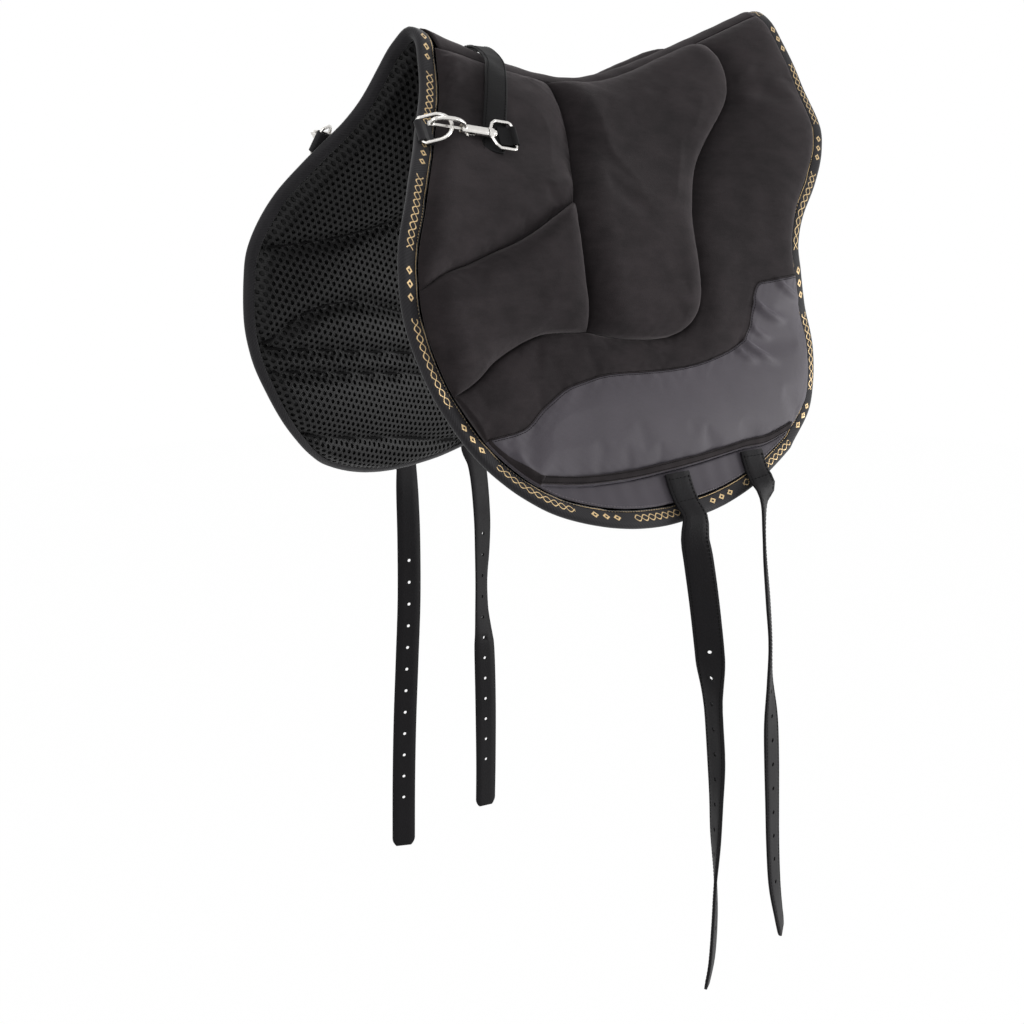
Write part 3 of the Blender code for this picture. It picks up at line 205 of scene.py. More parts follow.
def spineRise(x, end):
    share, softness = x / (pad[f"{end}ReachShare"] * pad["length"]), pad[f"{end}Softness"]
    soft = (np.sqrt(share**2 + softness**2) - softness) / (math.hypot(1, softness) - softness)
    return pad[f"{end}Rise"] * soft


def widthFactor(x):
    start, end = pad["wideStart"] * pad["length"], pad["wideEnd"] * pad["length"]
    return 1 + pad["wideningShare"] * eased((x - start) / (end - start))


def drape(x, v, w):
    x, v, w = np.broadcast_arrays(np.asarray(x, float), v, w)
    wider = widthFactor(x)
    out = lambda at: np.interp(at, sectionRun, sectionOut) * wider
    drop = lambda at: np.interp(at, sectionRun, sectionDrop)
    across = out(v + sectionStep) - out(v - sectionStep)
    down = drop(v + sectionStep) - drop(v - sectionStep)
    size = np.hypot(across, down)
    top = np.where(x < 0, spineRise(x, "front"), spineRise(x, "rear"))
    return np.stack([x, out(v) + w * down / size, top - drop(v) + w * across / size], -1)


# The outline of one flap and the seams on it
outlineSteps = 12
outlineLabels = {row[0]: n for n, row in enumerate(outlineShares) if row[0]}


def outlineLoop():
    half = onPad([row[1:] for row in outlineShares])
    return smoothThrough(np.vstack([half, (half * (1, -1))[-2:0:-1]]), outlineSteps, closed=True)


outline = outlineLoop()
outlineInward = -asideOf(np.roll(outline, -1, axis=0) - np.roll(outline, 1, axis=0))


def edgeStretch(start, end, inset):
    first, last = (outlineLabels[name] * outlineSteps for name in (start, end))
    step = 1 if last > first else -1
    index = np.arange(first, last + step, step)
    return Course(outline[index] + inset * outlineInward[index])


def edgePoint(label, inset):
    return edgeStretch(label, label, inset).points[0]


def channelHalf(x):
    share = (channel["narrowX"] - np.asarray(x, float)) / (channel["narrowX"] - channel["wideX"])
    return mix(channel["rear"], channel["front"], np.clip(share, 0.0, 1.0))


def channelPoint(x):
    return np.array([x, channelHalf(x)])


def belowChannel(course):
    kept = course.points[course.points[:, 1] > channelHalf(course.points[:, 0])]
    return Course(np.vstack([channelPoint(kept[0, 0]), kept]))


def channelStretch(startX, endX):
    return Course([channelPoint(x) for x in np.linspace(startX, endX, 24)])


def seamCourses():
    inset = layers["panelInset"]
    tops = [channelPoint(share * pad["length"]) for share in seatTopShares]
    curve = lambda *parts: Course(smoothThrough(np.vstack(parts)))
    shares = {name: onPad(rows) for name, rows in seamShares.items()}
    seatFront = smoothThrough(np.vstack([tops[0], shares["seatFront"]]))
    split = int(np.argmin(np.linalg.norm(seatFront - shares["roll"][0], axis=1)))
    return {
        "seatFront": Course(seatFront),
        "seatFrontHigh": Course(seatFront[:split + 1]),
        "seatFrontLow": Course(seatFront[split:]),
        "roll": curve(shares["roll"], edgePoint("rollEnd", inset)),
        "lowerRoll": curve(shares["lowerRoll"], edgePoint("lowerRollEnd", inset)),
        "seatBottom": curve(shares["seatBottom"]),
        "seatRear": curve(tops[1], shares["seatRear"]),
        "flapTop": curve(
            edgePoint("surroundHeel", inset), shares["flapTop"], edgePoint("surroundTip", inset)),
        "hem": curve(edgePoint("hemToe", inset), shares["hem"], edgePoint("hemHeel", inset)),
    }


seams = seamCourses()


# One helper for every node tree here: materials, world and Geometry Nodes
class Nodes:
    def __init__(self, tree):
        self.tree = tree

    def put(self, socket, value):
        if isinstance(value, bpy.types.NodeSocket):
            self.tree.links.new(value, socket)
        else:
            socket.default_value = value

    def add(self, kind, inputs=None, **settings):
        made = self.tree.nodes.new(kind)
        for key, value in settings.items():
            setattr(made, key, value)
        for key, value in (inputs or {}).items():
            self.put(made.inputs[key], value)
        return made

    def paint(self, sockets):
        for name, value in sockets.items():
            self.put(self.tree.nodes["Principled BSDF"].inputs[name], value)

    def calc(self, operation, *values):
        return self.add("ShaderNodeMath", dict(enumerate(values)), operation=operation).outputs[0]

    def times(self, a, b):
        return self.calc("MULTIPLY", a, b)

    def plus(self, a, b):
        return self.calc("ADD", a, b)

    def minus(self, a, b):
        return self.calc("SUBTRACT", a, b)

    def most(self, a, b):
        return self.calc("MAXIMUM", a, b)

    def below(self, value, limit):
        return self.calc("LESS_THAN", value, limit)

    def above(self, value, limit):
        return self.calc("GREATER_THAN", value, limit)

    def within(self, value, half):
        return self.below(self.calc("ABSOLUTE", value), half)

    def swing(self, value, length):
        return self.calc("SINE", self.times(value, 2 * math.pi / length))

    def weighted(self, parts, shares):
        total, *rest = (self.times(part, share) for part, share in zip(parts, shares))
        for part in rest:
            total = self.plus(total, part)
        return total

    def place(self, kind="Object"):
        return self.add("ShaderNodeTexCoord").outputs[kind]

    def noise(self, place, scale, detail=3.0, roughness=0.5, stretch=None):
        if stretch:
            place = self.add("ShaderNodeMapping", {"Vector": place, "Scale": stretch}).outputs[0]
        made = self.add("ShaderNodeTexNoise", {
            "Vector": place, "Scale": scale, "Detail": detail, "Roughness": roughness})
        return made.outputs["Fac"]

    def wave(self, place, scale, direction="X"):
        return self.add("ShaderNodeTexWave", {"Vector": place, "Scale": scale},
                        bands_direction=direction).outputs["Fac"]

    def ramp(self, value, low, high):
        return self.add("ShaderNodeMapRange", {
            "Value": value, "From Min": low, "From Max": high}).outputs["Result"]

    def blend(self, share, first, second):
        made = self.add("ShaderNodeMix", {"Factor": share}, data_type="RGBA")
        colours = [s for s in made.inputs if s.type == "RGBA"]
        for socket, value in zip(colours, (first, second)):
            self.put(socket, value if isinstance(value, bpy.types.NodeSocket) else (*value, 1.0))
        return [s for s in made.outputs if s.type == "RGBA"][0]

    def tinted(self, parts, look):
        tone = self.ramp(self.weighted(parts, look["toneShares"]), *look["toneRamp"])
        return self.blend(tone, look["dark"], look["light"])

    def shaded(self, share, look):
        return self.blend(share, [part * look["shade"] for part in look["tone"]], look["tone"])

    def bump(self, height, distance, strength, under=None):
        inputs = {"Height": height, "Distance": distance, "Strength": strength}
        if under is not None:
            inputs["Normal"] = under
        return self.add("ShaderNodeBump", inputs).outputs["Normal"]

    def attribute(self, name):
        return self.add("ShaderNodeAttribute", attribute_name=name).outputs["Fac"]


# In the looks below a noise is its scale, detail and roughness, then how it is stretched,
# and a bump is its depth and strength.
def newMaterial(name, look):
    material = bpy.data.materials.new(name)
    material.use_nodes = True
    nodes = Nodes(material.node_tree)
    nodes.paint({
        "Roughness": look["roughness"], "Metallic": look.get("metallic", 0.0),
        "Sheen Weight": look.get("sheen", 0.0), "Sheen Roughness": 0.4,
        "Sheen Tint": (*look.get("sheenTint", (1, 1, 1)), 1.0),
        "Specular IOR Level": look.get("specular", 0.5)})
    return material, nodes


suedeLook = {
    "dark": (0.0088, 0.0070, 0.0077), "light": (0.0295, 0.0240, 0.0258), "roughness": 0.92,
    "sheen": 0.16, "sheenTint": (0.9, 0.82, 0.84), "specular": 0.2,
    "smudge": (11.0, 4.0, 0.6, (1.0, 1.4, 0.8)), "patches": (34.0, 3.0, 0.55, (1.0, 1.0, 1.7)),
    "brushed": (2.0, 2.0, 0.6, (40.0, 40.0, 220.0)), "grain": (900.0, 2.0, 0.7),
    "grainBump": (0.0004, 0.5), "smudgeBump": (0.002, 0.25), "smudgeShares": (0.6, 0.4),
    "smudgeRamp": (0.36, 0.64), "toneShares": (0.60, 0.2, 0.35), "toneRamp": (0.2, 0.85),
}


def suedeMaterial():
    look = suedeLook
    material, nodes = newMaterial("microsuede", look)
    kinds = ("smudge", "patches", "brushed", "grain")
    smudge, patches, brushed, grain = (nodes.noise(nodes.place(), *look[kind]) for kind in kinds)
    smudge = nodes.weighted((smudge, patches), look["smudgeShares"])
    cleared = nodes.ramp(smudge, *look["smudgeRamp"])
    nodes.paint({
        "Base Color": nodes.tinted((cleared, brushed, grain), look),
        "Normal": nodes.bump(smudge, *look["smudgeBump"], nodes.bump(grain, *look["grainBump"]))})
    return material


satinLook = {
    "dark": (0.042, 0.0365, 0.0445), "light": (0.075, 0.066, 0.079), "roughness": 0.62,
    "sheen": 0.2, "sheenTint": (0.92, 0.9, 1.0), "specular": 0.35, "weave": 250.0,
    "speck": (1300.0, 2.0, 0.8), "cloud": (18.0, 3.0), "weaveBump": (0.0002, 0.35),
    "cloudBump": (0.0015, 0.2), "toneShares": (0.55, 0.45), "toneRamp": (0.3, 0.7),
    "roughRamp": (-1.2, 1.4),
}


def satinMaterial():
    look = satinLook
    material, nodes = newMaterial("grey satin cloth", look)
    place = nodes.place()
    weave = nodes.times(*(nodes.wave(place, look["weave"], way) for way in "XZ"))
    speck, cloud = (nodes.noise(place, *look[name]) for name in ("speck", "cloud"))
    nodes.paint({
        "Base Color": nodes.tinted((speck, cloud), look),
        "Roughness": nodes.ramp(speck, *look["roughRamp"]),
        "Normal": nodes.bump(cloud, *look["cloudBump"], nodes.bump(weave, *look["weaveBump"]))})
    return material


# The black spacer mesh. Its darkest colour is painted shade. It is laid on the walls and floors of
# its holes, over the darker layer beneath, and along the quilting seams.
meshLook = {
    "dark": (0.0052, 0.0051, 0.0054), "light": (0.0150, 0.0146, 0.0150),
    "pocketShade": (0.0016, 0.0016, 0.0018), "roughness": 0.50, "sheen": 0.02, "specular": 0.20,
    "fibre": (1700.0, 2.0, 0.8), "rib": 260.0, "knitBump": (0.0005, 0.6),
    "toneShares": (0.6, 0.4), "toneRamp": (0.3, 0.7),
}


def meshMaterial():
    look = meshLook
    material, nodes = newMaterial("black spacer mesh", look)
    place = nodes.place()
    parts = nodes.noise(place, *look["fibre"]), nodes.wave(place, look["rib"], "DIAGONAL")
    face = nodes.tinted(parts, look)
    # Painted shade: the faces inside the holes and the band along each quilting seam are blended to
    # the near-black shade colour.
    for name in ("sewn", "pocketShade"):
        face = nodes.blend(nodes.attribute(name), face, look["pocketShade"])
    height = nodes.weighted(parts, look["toneShares"])
    nodes.paint({"Base Color": face, "Normal": nodes.bump(height, *look["knitBump"])})
    return material


tapeLook = {
    "dark": (0.0070, 0.0064, 0.0078), "light": (0.0155, 0.0142, 0.0168), "roughness": 0.72,
    "sheen": 0.25, "specular": 0.3, "twill": 190.0, "cloud": (30.0, 3.0),
    "toneShares": (0.35, 0.65), "toneRamp": (0.3, 0.8), "gold": (0.80, 0.58, 0.30),
    "goldMetallic": 0.25, "goldSmoother": 0.3,
    "repeat": 0.150, "braidEnd": 0.084, "braidWave": 0.0168, "braidHeight": 0.0030,
    "strandHalf": 0.000567, "lozengeStart": 0.098, "lozengeStep": 0.0125, "lozengeCount": 3,
    "lozengeLong": 0.0042, "lozengeTall": 0.0033, "hollow": 0.42, "middle": 0.0082,
    "lineAt": 0.0013, "lineHalf": 0.00036, "wanderHigh": 0.0012, "dotStep": 0.0032,
    "wander": (22.0, 2.0, 0.5, (1.0, 0.0, 0.0)), "gaps": (9.0, 1.0, 0.5, (1.0, 0.0, 0.0)),
    "fray": (1400.0, 2.0, 0.8), "twillBump": (0.0003, 0.4), "goldBump": (0.0003, 0.6),
    "gapLevel": 0.47, "dotLevel": -0.1, "frayLevel": 0.36,
}


# The tape's own map: along the tape and across it from its inner edge, both in metres
def tapePattern(nodes, uv):
    look = tapeLook
    along, across = nodes.add("ShaderNodeSeparateXYZ", {0: uv}).outputs[:2]
    repeats = nodes.calc("DIVIDE", along, look["repeat"])
    spot = nodes.times(nodes.calc("FRACT", repeats), look["repeat"])
    height = nodes.minus(across, look["middle"])
    turn = nodes.times(nodes.swing(along, look["braidWave"]), look["braidHeight"])
    strands = nodes.most(*(nodes.within(way(height, turn), look["strandHalf"])
                           for way in (nodes.minus, nodes.plus)))
    braid = nodes.times(strands, nodes.below(spot, look["braidEnd"]))
    past = nodes.minus(spot, look["lozengeStart"])
    cell = nodes.minus(nodes.calc("MODULO", past, look["lozengeStep"]), look["lozengeStep"] / 2)
    share = lambda part, size: nodes.calc("DIVIDE", nodes.calc("ABSOLUTE", part), size)
    shape = nodes.plus(share(cell, look["lozengeLong"]), share(height, look["lozengeTall"]))
    ring = nodes.times(nodes.below(shape, 1.0), nodes.above(shape, look["hollow"]))
    row = nodes.times(nodes.above(past, 0.0),
                      nodes.below(past, look["lozengeStep"] * look["lozengeCount"]))
    wander = nodes.times(nodes.minus(nodes.noise(uv, *look["wander"]), 0.5), look["wanderHigh"])
    line = nodes.within(nodes.minus(nodes.plus(across, wander), look["lineAt"]), look["lineHalf"])
    shown = nodes.above(nodes.noise(uv, *look["gaps"]), look["gapLevel"])
    dots = nodes.above(nodes.swing(along, look["dotStep"]), look["dotLevel"])
    gold = nodes.most(nodes.most(braid, nodes.times(ring, row)),
                      nodes.times(line, nodes.most(shown, dots)))
    return nodes.times(gold, nodes.above(nodes.noise(uv, *look["fray"]), look["frayLevel"]))


def tapeMaterial(name, patterned):
    look = tapeLook
    material, nodes = newMaterial(name, look)
    uv = nodes.place("UV")
    twill = nodes.wave(uv, look["twill"], "DIAGONAL")
    cloth = nodes.tinted((twill, nodes.noise(nodes.place(), *look["cloud"])), look)
    normal = nodes.bump(twill, *look["twillBump"])
    if not patterned:
        nodes.paint({"Base Color": cloth, "Normal": normal})
        return material
    gold = tapePattern(nodes, uv)
    nodes.paint({
        "Base Color": nodes.blend(gold, cloth, look["gold"]),
        "Metallic": nodes.times(gold, look["goldMetallic"]),
        "Roughness": nodes.minus(look["roughness"], nodes.times(gold, look["goldSmoother"])),
        "Normal": nodes.bump(gold, *look["goldBump"], normal)})
    return material


leatherLook = {
    "billet": {
        "dark": (0.0038, 0.0034, 0.0040), "light": (0.0090, 0.0082, 0.0095), "roughness": 0.58},
    "strap": {
        "dark": (0.0020, 0.0019, 0.0022), "light": (0.0056, 0.0053, 0.0060), "roughness": 0.62},
    "sheen": 0.02, "specular": 0.14, "pebble": 620.0, "cloud": (26.0, 4.0, 0.6),
    "crease": (3.0, 3.0, 0.6, (30.0, 30.0, 160.0)), "uneven": 0.12,
    "pebbleBump": (0.00025, 0.5), "creaseBump": (0.0006, 0.3), "toneShares": (0.7, 0.3),
    "toneRamp": (0.25, 0.75),
}


def leatherMaterial(name, kind):
    look = leatherLook | leatherLook[kind]
    material, nodes = newMaterial(name, look)
    place = nodes.place()
    pebble = nodes.add("ShaderNodeTexVoronoi", {
        "Vector": place, "Scale": look["pebble"]}).outputs["Distance"]
    cloud, crease = (nodes.noise(place, *look[part]) for part in ("cloud", "crease"))
    uneven = nodes.times(cloud, 2 * look["uneven"])
    nodes.paint({
        "Base Color": nodes.tinted((cloud, pebble), look),
        "Roughness": nodes.plus(look["roughness"] - look["uneven"], uneven),
        "Normal": nodes.bump(crease, *look["creaseBump"], nodes.bump(pebble, *look["pebbleBump"]))})
    return material


metalLook = {
    "nickel": {"tone": (0.74, 0.72, 0.69), "roughness": 0.20},
    "steel": {"tone": (0.42, 0.42, 0.43), "roughness": 0.35}, "metallic": 1.0, "worn": 0.10,
    "shade": 0.8, "film": (180.0, 3.0, 0.6), "scratch": (1.0, 2.0, 0.5, (60.0, 900.0, 900.0)),
    "scratchBump": (0.00003, 0.3),
}


def metalMaterial(name, kind):
    look = metalLook | metalLook[kind]
    material, nodes = newMaterial(name, look)
    film, scratch = (nodes.noise(nodes.place(), *look[part]) for part in ("film", "scratch"))
    worn = nodes.times(film, 2 * look["worn"])
    nodes.paint({
        "Base Color": nodes.shaded(film, look),
        "Roughness": nodes.plus(look["roughness"] - look["worn"] / 2, worn),
        "Normal": nodes.bump(scratch, *look["scratchBump"])})
    return material


threadLook = {
    "darkThread": {"tone": (0.0045, 0.0042, 0.0046), "sheen": 0.0, "specular": 0.08},
    "greyThread": {"tone": (0.16, 0.14, 0.16), "sheen": 0.3, "specular": 0.5},
    "roughness": 0.7, "shade": 0.55, "twist": 900.0, "twistBump": (0.0002, 0.5),
}


def threadMaterial(name, kind):
    look = threadLook | threadLook[kind]
    material, nodes = newMaterial(name, look)
    twist = nodes.wave(nodes.place(), look["twist"], "DIAGONAL")
    nodes.paint({
        "Base Color": nodes.shaded(twist, look), "Normal": nodes.bump(twist, *look["twistBump"])})
    return material


finishes = {
    "suede": suedeMaterial(), "satin": satinMaterial(), "mesh": meshMaterial(),
    "tape": tapeMaterial("binding tape with gold braid", True),
    "webbing": tapeMaterial("plain black tape", False),
    "billet": leatherMaterial("black billet leather", "billet"),
    "strap": leatherMaterial("soft black strap leather", "strap"),
    "nickel": metalMaterial("nickel plate", "nickel"),
    "steel": metalMaterial("drawn spring steel", "steel"),
    "darkThread": threadMaterial("dark thread", "darkThread"),
    "greyThread": threadMaterial("grey thread", "greyThread"),
}
print("materials made")


# Meshes and pieces
def placed(name, data):
    piece = bpy.data.objects.new(name, data)
    scene.collection.objects.link(piece)
    return piece


def newMesh(name, points, edges, faces):
    mesh = bpy.data.meshes.new(name)
    mesh.from_pydata([tuple(p) for p in points], edges, faces)
    return mesh


def edited(mesh, change):
    work = bmesh.new()
    work.from_mesh(mesh)
    change(work)
    work.to_mesh(mesh)
    work.free()


def painted(piece, finish):
    piece.data.materials.clear()
    piece.data.materials.append(finishes[finish])
    return piece


def newPiece(name, points, faces, finish, uv=None):
    mesh = newMesh(name, points, [], faces)
    if uv is not None:
        layer = mesh.uv_layers.new(name="UVMap")
        layer.data.foreach_set("uv", np.asarray(uv, np.float32).ravel())
    mesh.shade_smooth()
    return painted(placed(name, mesh), finish)


def outwardFaces(piece):
    edited(piece.data, lambda work: bmesh.ops.recalc_face_normals(work, faces=work.faces[:]))
    return piece


def evaluated(piece):
    return piece.evaluated_get(bpy.context.evaluated_depsgraph_get())


def bakeModifiers(piece):
    result = bpy.data.meshes.new_from_object(evaluated(piece))
    piece.modifiers.clear()
    old = piece.data
    piece.data = result
    bpy.data.meshes.remove(old)
    return piece


def dress(piece, body, slot, *nodes):
    if nodes:
        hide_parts(*nodes)
    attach(piece, body)
    return piece


def gridFaces(rows, columns, start, flip):
    r, c = np.meshgrid(np.arange(rows - 1), np.arange(columns - 1), indexing="ij")
    a = start + r * columns + c
    quads = np.stack([a, a + 1, a + columns + 1, a + columns], -1).reshape(-1, 4)
    return quads[:, ::-1] if flip else quads


def slab(low, high, flip=False):
    rows, columns = low.shape[:2]
    count = rows * columns
    faces = [gridFaces(rows, columns, 0, not flip), gridFaces(rows, columns, count, flip)]
    index = np.arange(count).reshape(rows, columns)
    here = np.concatenate([index[0], index[1:, -1], index[-1, -2::-1], index[-2:0:-1, 0]])
    there = np.roll(here, -1)
    side = np.stack([here, there, there + count, here + count], -1)
    faces.append(side[:, ::-1] if flip else side)
    return np.vstack([low.reshape(-1, 3), high.reshape(-1, 3)]), np.vstack(faces).tolist()


def swept(sections, closed=False):
    rings, around = sections.shape[:2]
    r, c = np.meshgrid(np.arange(rings if closed else rings - 1), np.arange(around), indexing="ij")
    ahead, beside = (r + 1) % rings, (c + 1) % around
    faces = np.stack([r * around + c, r * around + beside, ahead * around + beside,
                      ahead * around + c], -1).reshape(-1, 4).tolist()
    if not closed:
        faces.append(list(range(around))[::-1])
        faces.append(list(range((rings - 1) * around, rings * around)))
    return sections.reshape(-1, 3), faces


def laidStrip(name, grid, low, high, way, finish, slot, *nodes):
    x, v = grid[..., 0], way * grid[..., 1]
    points, faces = slab(drape(x, v, low), drape(x, v, high), flip=way > 0)
    return dress(outwardFaces(newPiece(name, points, faces, finish)), "pad", slot, *nodes)


# Cushions
cushionLook = {
    "spacing": 0.0046, "edgeRoll": 0.032, "cover": 0.0012, "seam": 0.0003, "cap": 0.0040,
    "pucker": 0.00014, "puckerLengths": (0.0095, 0.0140, 0.0210, 0.0330), "puckerReach": 0.009,
    "puckerSlant": 0.7, "plumpShare": 0.94, "sunk": 0.0003, "holdWidth": 0.006, "holdRise": 0.5,
    "holdMost": 0.9, "foldBow": 0.06, "foldStart": (4, 0.4), "foldEnd": (1.6, 0.1), "fewest": 8,
    "surroundColumns": 16, "surroundCluster": 0.1, "surroundSeed": 9,
}
clothLook = {
    "frames": 18, "quality": 5, "mass": 0.15, "tension_stiffness": 18, "compression_stiffness": 18,
    "shear_stiffness": 8, "bending_stiffness": 4.0, "air_damping": 2.0, "use_pressure": True,
    "uniform_pressure_force": 3.0, "shrink_min": -0.0015,
}
# Height, finish, slot and fill of each cushion
cushionPlans = {
    "front_upper_roll": (0.0135, "suede", "suede", 0.55),
    "front_lower_roll": (0.024, "suede", "suede", 0.7), "seat": (0.024, "suede", "suede", 0.75),
    "flap": (0.011, "satin", "satin_cloth", 0.5), "surround": (0.011, "suede", "suede", 0.5),
}


def clustered(count, amount=0.45):
    u = np.linspace(0, 1, count)
    return mix(u, (1 - np.cos(math.pi * u)) / 2, amount)


def insideSeams(shares, length):
    gap = cushionLook["seam"] / length
    return gap + (1 - 2 * gap) * shares


def patch(left, right, top, bottom, rows, columns):
    rows = insideSeams(rows, max(left.length, right.length))
    columns = insideSeams(columns, max(top.length, bottom.length))
    t, s = rows[:, None, None], columns[None, :, None]
    corners = (top.points[0], top.points[-1], bottom.points[0], bottom.points[-1])
    fromCorners = ((1 - s) * (1 - t) * corners[0] + s * (1 - t) * corners[1]
                   + (1 - s) * t * corners[2] + s * t * corners[3])
    across = (1 - s) * left.at(rows)[:, None, :] + s * right.at(rows)[:, None, :]
    down = (1 - t) * top.at(columns)[None] + t * bottom.at(columns)[None]
    return across + down - fromCorners


def ruled(inner, outer, innerRows, outerRows, columns):
    a, b = (line.at(insideSeams(rows, line.length))[:, None, :]
            for line, rows in ((inner, innerRows), (outer, outerRows)))
    width = np.linalg.norm(b - a, axis=-1, keepdims=True)
    return mix(a, b, insideSeams(columns[None, :, None], width))


def rollOff(distance, radius):
    return np.sqrt(1 - (1 - np.clip(distance / radius, 0.0, 1.0))**2)


def sideDistances(grid):
    across = np.linalg.norm(np.diff(grid, axis=1), axis=-1)
    down = np.linalg.norm(np.diff(grid, axis=0), axis=-1)
    left = np.pad(np.cumsum(across, axis=1), ((0, 0), (1, 0)))
    top = np.pad(np.cumsum(down, axis=0), ((1, 0), (0, 0)))
    return np.minimum(left, left[:, -1:] - left), np.minimum(top, top[-1:] - top)


def distanceTo(line, points):
    best = np.full(len(points), 9.0)
    for a, b in zip(line[:-1], line[1:]):
        step = b - a
        share = np.clip(((points - a) @ step) / (step @ step), 0, 1)
        best = np.minimum(best, np.linalg.norm(points - (a + share[:, None] * step), axis=1))
    return best


def rolledHeight(height, *distances):
    return height * math.prod(rollOff(d, cushionLook["edgeRoll"]) for d in distances)


# The surround and the flap cushion are one quilted panel, so they share their height
def sharedPanel(grid, height):
    flat = grid.reshape(-1, 2)
    inner = joined(seams["seatRear"], seams["seatBottom"].flipped(), seams["lowerRoll"]).points[::3]
    rim = edgeStretch("spineRear", "surroundTip", layers["panelInset"]).points[::3]
    sewn = distanceTo(inner, flat)
    edge = np.minimum(distanceTo(rim, flat), distanceTo(seams["hem"].points[::4], flat))
    top = np.maximum(flat[:, 1] - channelHalf(flat[:, 0]), 0.0)
    return rolledHeight(height, sewn, edge, top).reshape(grid.shape[:2])


# Folds of the cushions: start and end on the pad, in shares, then half width and height
foldStrokes = (
    (0.262, 0.556, 0.352, 0.628, 0.0040, 0.0042), (0.192, 0.574, 0.284, 0.650, 0.0042, 0.0052),
    (0.176, 0.612, 0.236, 0.672, 0.0034, 0.0028), (0.148, 0.634, 0.240, 0.726, 0.0042, 0.0056),
    (0.130, 0.650, 0.180, 0.702, 0.0034, 0.0030), (-0.416, 0.888, -0.366, 0.950, 0.0050, 0.0026),
    (-0.376, 0.959, -0.339, 0.945, 0.0036, 0.0026), (-0.328, 0.941, -0.294, 0.918, 0.0036, 0.0022),
    (-0.373, 0.091, -0.320, 0.064, 0.0040, 0.0024), (-0.399, 0.167, -0.335, 0.119, 0.0040, 0.0028),
    (-0.388, 0.135, -0.330, 0.090, 0.0038, 0.0026), (-0.230, 0.345, -0.140, 0.278, 0.0080, 0.0028),
    (-0.330, 0.585, -0.225, 0.520, 0.0100, 0.0022), (-0.400, 0.640, -0.300, 0.588, 0.0090, 0.0018),
    (0.398, 0.132, 0.462, 0.126, 0.0060, 0.0018), (0.383, 0.180, 0.450, 0.190, 0.0060, 0.0018),
)


def foldHeights(grid):
    total = np.zeros(grid.shape[:2])
    (slope, start0), (endSlope, end0) = cushionLook["foldStart"], cushionLook["foldEnd"]
    for x0, v0, x1, v1, width, height in foldStrokes:
        start, line = onPad((x0, v0)), onPad((x1, v1)) - onPad((x0, v0))
        length = np.linalg.norm(line)
        line = line / length
        along = ((grid - start) @ line) / length
        aside = (grid - start) @ np.array([-line[1], line[0]])
        bowed = aside - cushionLook["foldBow"] * length * np.sin(math.pi * np.clip(along, 0, 1))
        ends = eased(along * slope + start0) * eased((1.0 - along) * endSlope + end0)
        total += height * ends * np.exp(-(bowed / width)**2)
    return total


def seamPuckers(grid, distance, seed):
    draws, slant = np.random.default_rng(seed), cushionLook["puckerSlant"]
    place = grid[..., 0] + grid[..., 1] * slant
    other = grid[..., 1] - grid[..., 0] * slant
    wave = np.zeros(place.shape)
    for length in cushionLook["puckerLengths"]:
        a, b = draws.uniform(0, 2 * math.pi, 2)
        wave += np.sin(2 * math.pi * place / length + a) + np.sin(2 * math.pi * other / length + b)
    return cushionLook["pucker"] * wave * np.exp(-distance / cushionLook["puckerReach"])


def simulated(points, faces, loose):
    trial = outwardFaces(placed("clothTrial", newMesh("clothTrial", points, [], faces)))
    pins = trial.vertex_groups.new(name="sewn")
    pins.add([int(i) for i in np.nonzero(~loose)[0]], 1.0, "REPLACE")
    cloth = trial.modifiers.new("cloth", "CLOTH")
    for key, value in clothLook.items():
        if key != "frames":
            setattr(cloth.settings, key, value)
    cloth.settings.vertex_group_mass = "sewn"
    cloth.settings.effector_weights.gravity = 0.0
    cloth.collision_settings.use_collision = False
    cloth.point_cache.frame_start, cloth.point_cache.frame_end = 1, clothLook["frames"]
    for number in range(1, clothLook["frames"] + 1):
        scene.frame_set(number)
    result = np.zeros(len(points) * 3, np.float32)
    evaluated(trial).data.vertices.foreach_get("co", result)
    bpy.data.objects.remove(trial, do_unlink=True)
    scene.frame_set(1)
    return result.reshape(-1, 3).astype(float)


def settledTop(low, high):
    points, faces = slab(low, high)
    loose = np.zeros((2, *low.shape[:2]), bool)
    loose[1, 1:-1, 1:-1] = True
    settled = simulated(points, faces, loose.ravel())[low.shape[0] * low.shape[1]:]
    change = settled.reshape(high.shape) - high
    size = np.linalg.norm(change, axis=-1, keepdims=True)
    return high + change * np.minimum(1.0, cushionLook["cap"] / np.maximum(size, 1e-9))


def refined(part):
    for _ in range(2):
        rows = len(part)
        part = smoothThrough(part.reshape(rows, -1), 2).reshape(2 * rows - 1, *part.shape[1:])
        part = part.swapaxes(0, 1)
    return part


def cushion(name, grid, seed):
    height, finish, slot, fill = cushionPlans[name]
    quilted = name in ("surround", "flap")
    plump = height * cushionLook["plumpShare"]
    rise = sharedPanel(grid, plump) if quilted else rolledHeight(plump, *sideDistances(grid))
    x, v = grid[..., 0], -grid[..., 1]
    base = layers["coverBase"]
    low = drape(x, v, base - cushionLook["sunk"])
    high = drape(x, v, base + cushionLook["cover"] + rise)
    outward = unit(drape(x, v, base + 0.01) - drape(x, v, base))
    high = settledTop(low, high)
    grid, low, high, outward, rise = (
        refined(part) for part in (grid, low, high, outward, rise[..., None]))
    distance = np.minimum(*sideDistances(grid))
    hold = eased(distance / cushionLook["holdWidth"])
    if quilted:
        full = rise[..., 0] / (cushionLook["holdRise"] * height)
        hold = np.maximum(hold, eased(full) * cushionLook["holdMost"])
    extra = (foldHeights(grid) + seamPuckers(grid, distance, seed)) * hold
    high = high + outward * extra[..., None]
    for prefix, way in sides.items():
        turn = np.array([1.0, -1.0 * way, 1.0])
        points, faces = slab(low * turn, high * turn, flip=way > 0)
        piece = outwardFaces(newPiece(f"{prefix}_{name}_pad", points, faces, finish))
        dress(piece, "pad", slot, f"{prefix}_{name}_cover", f"{prefix}_{name}_foam")
    print("cushion", name)


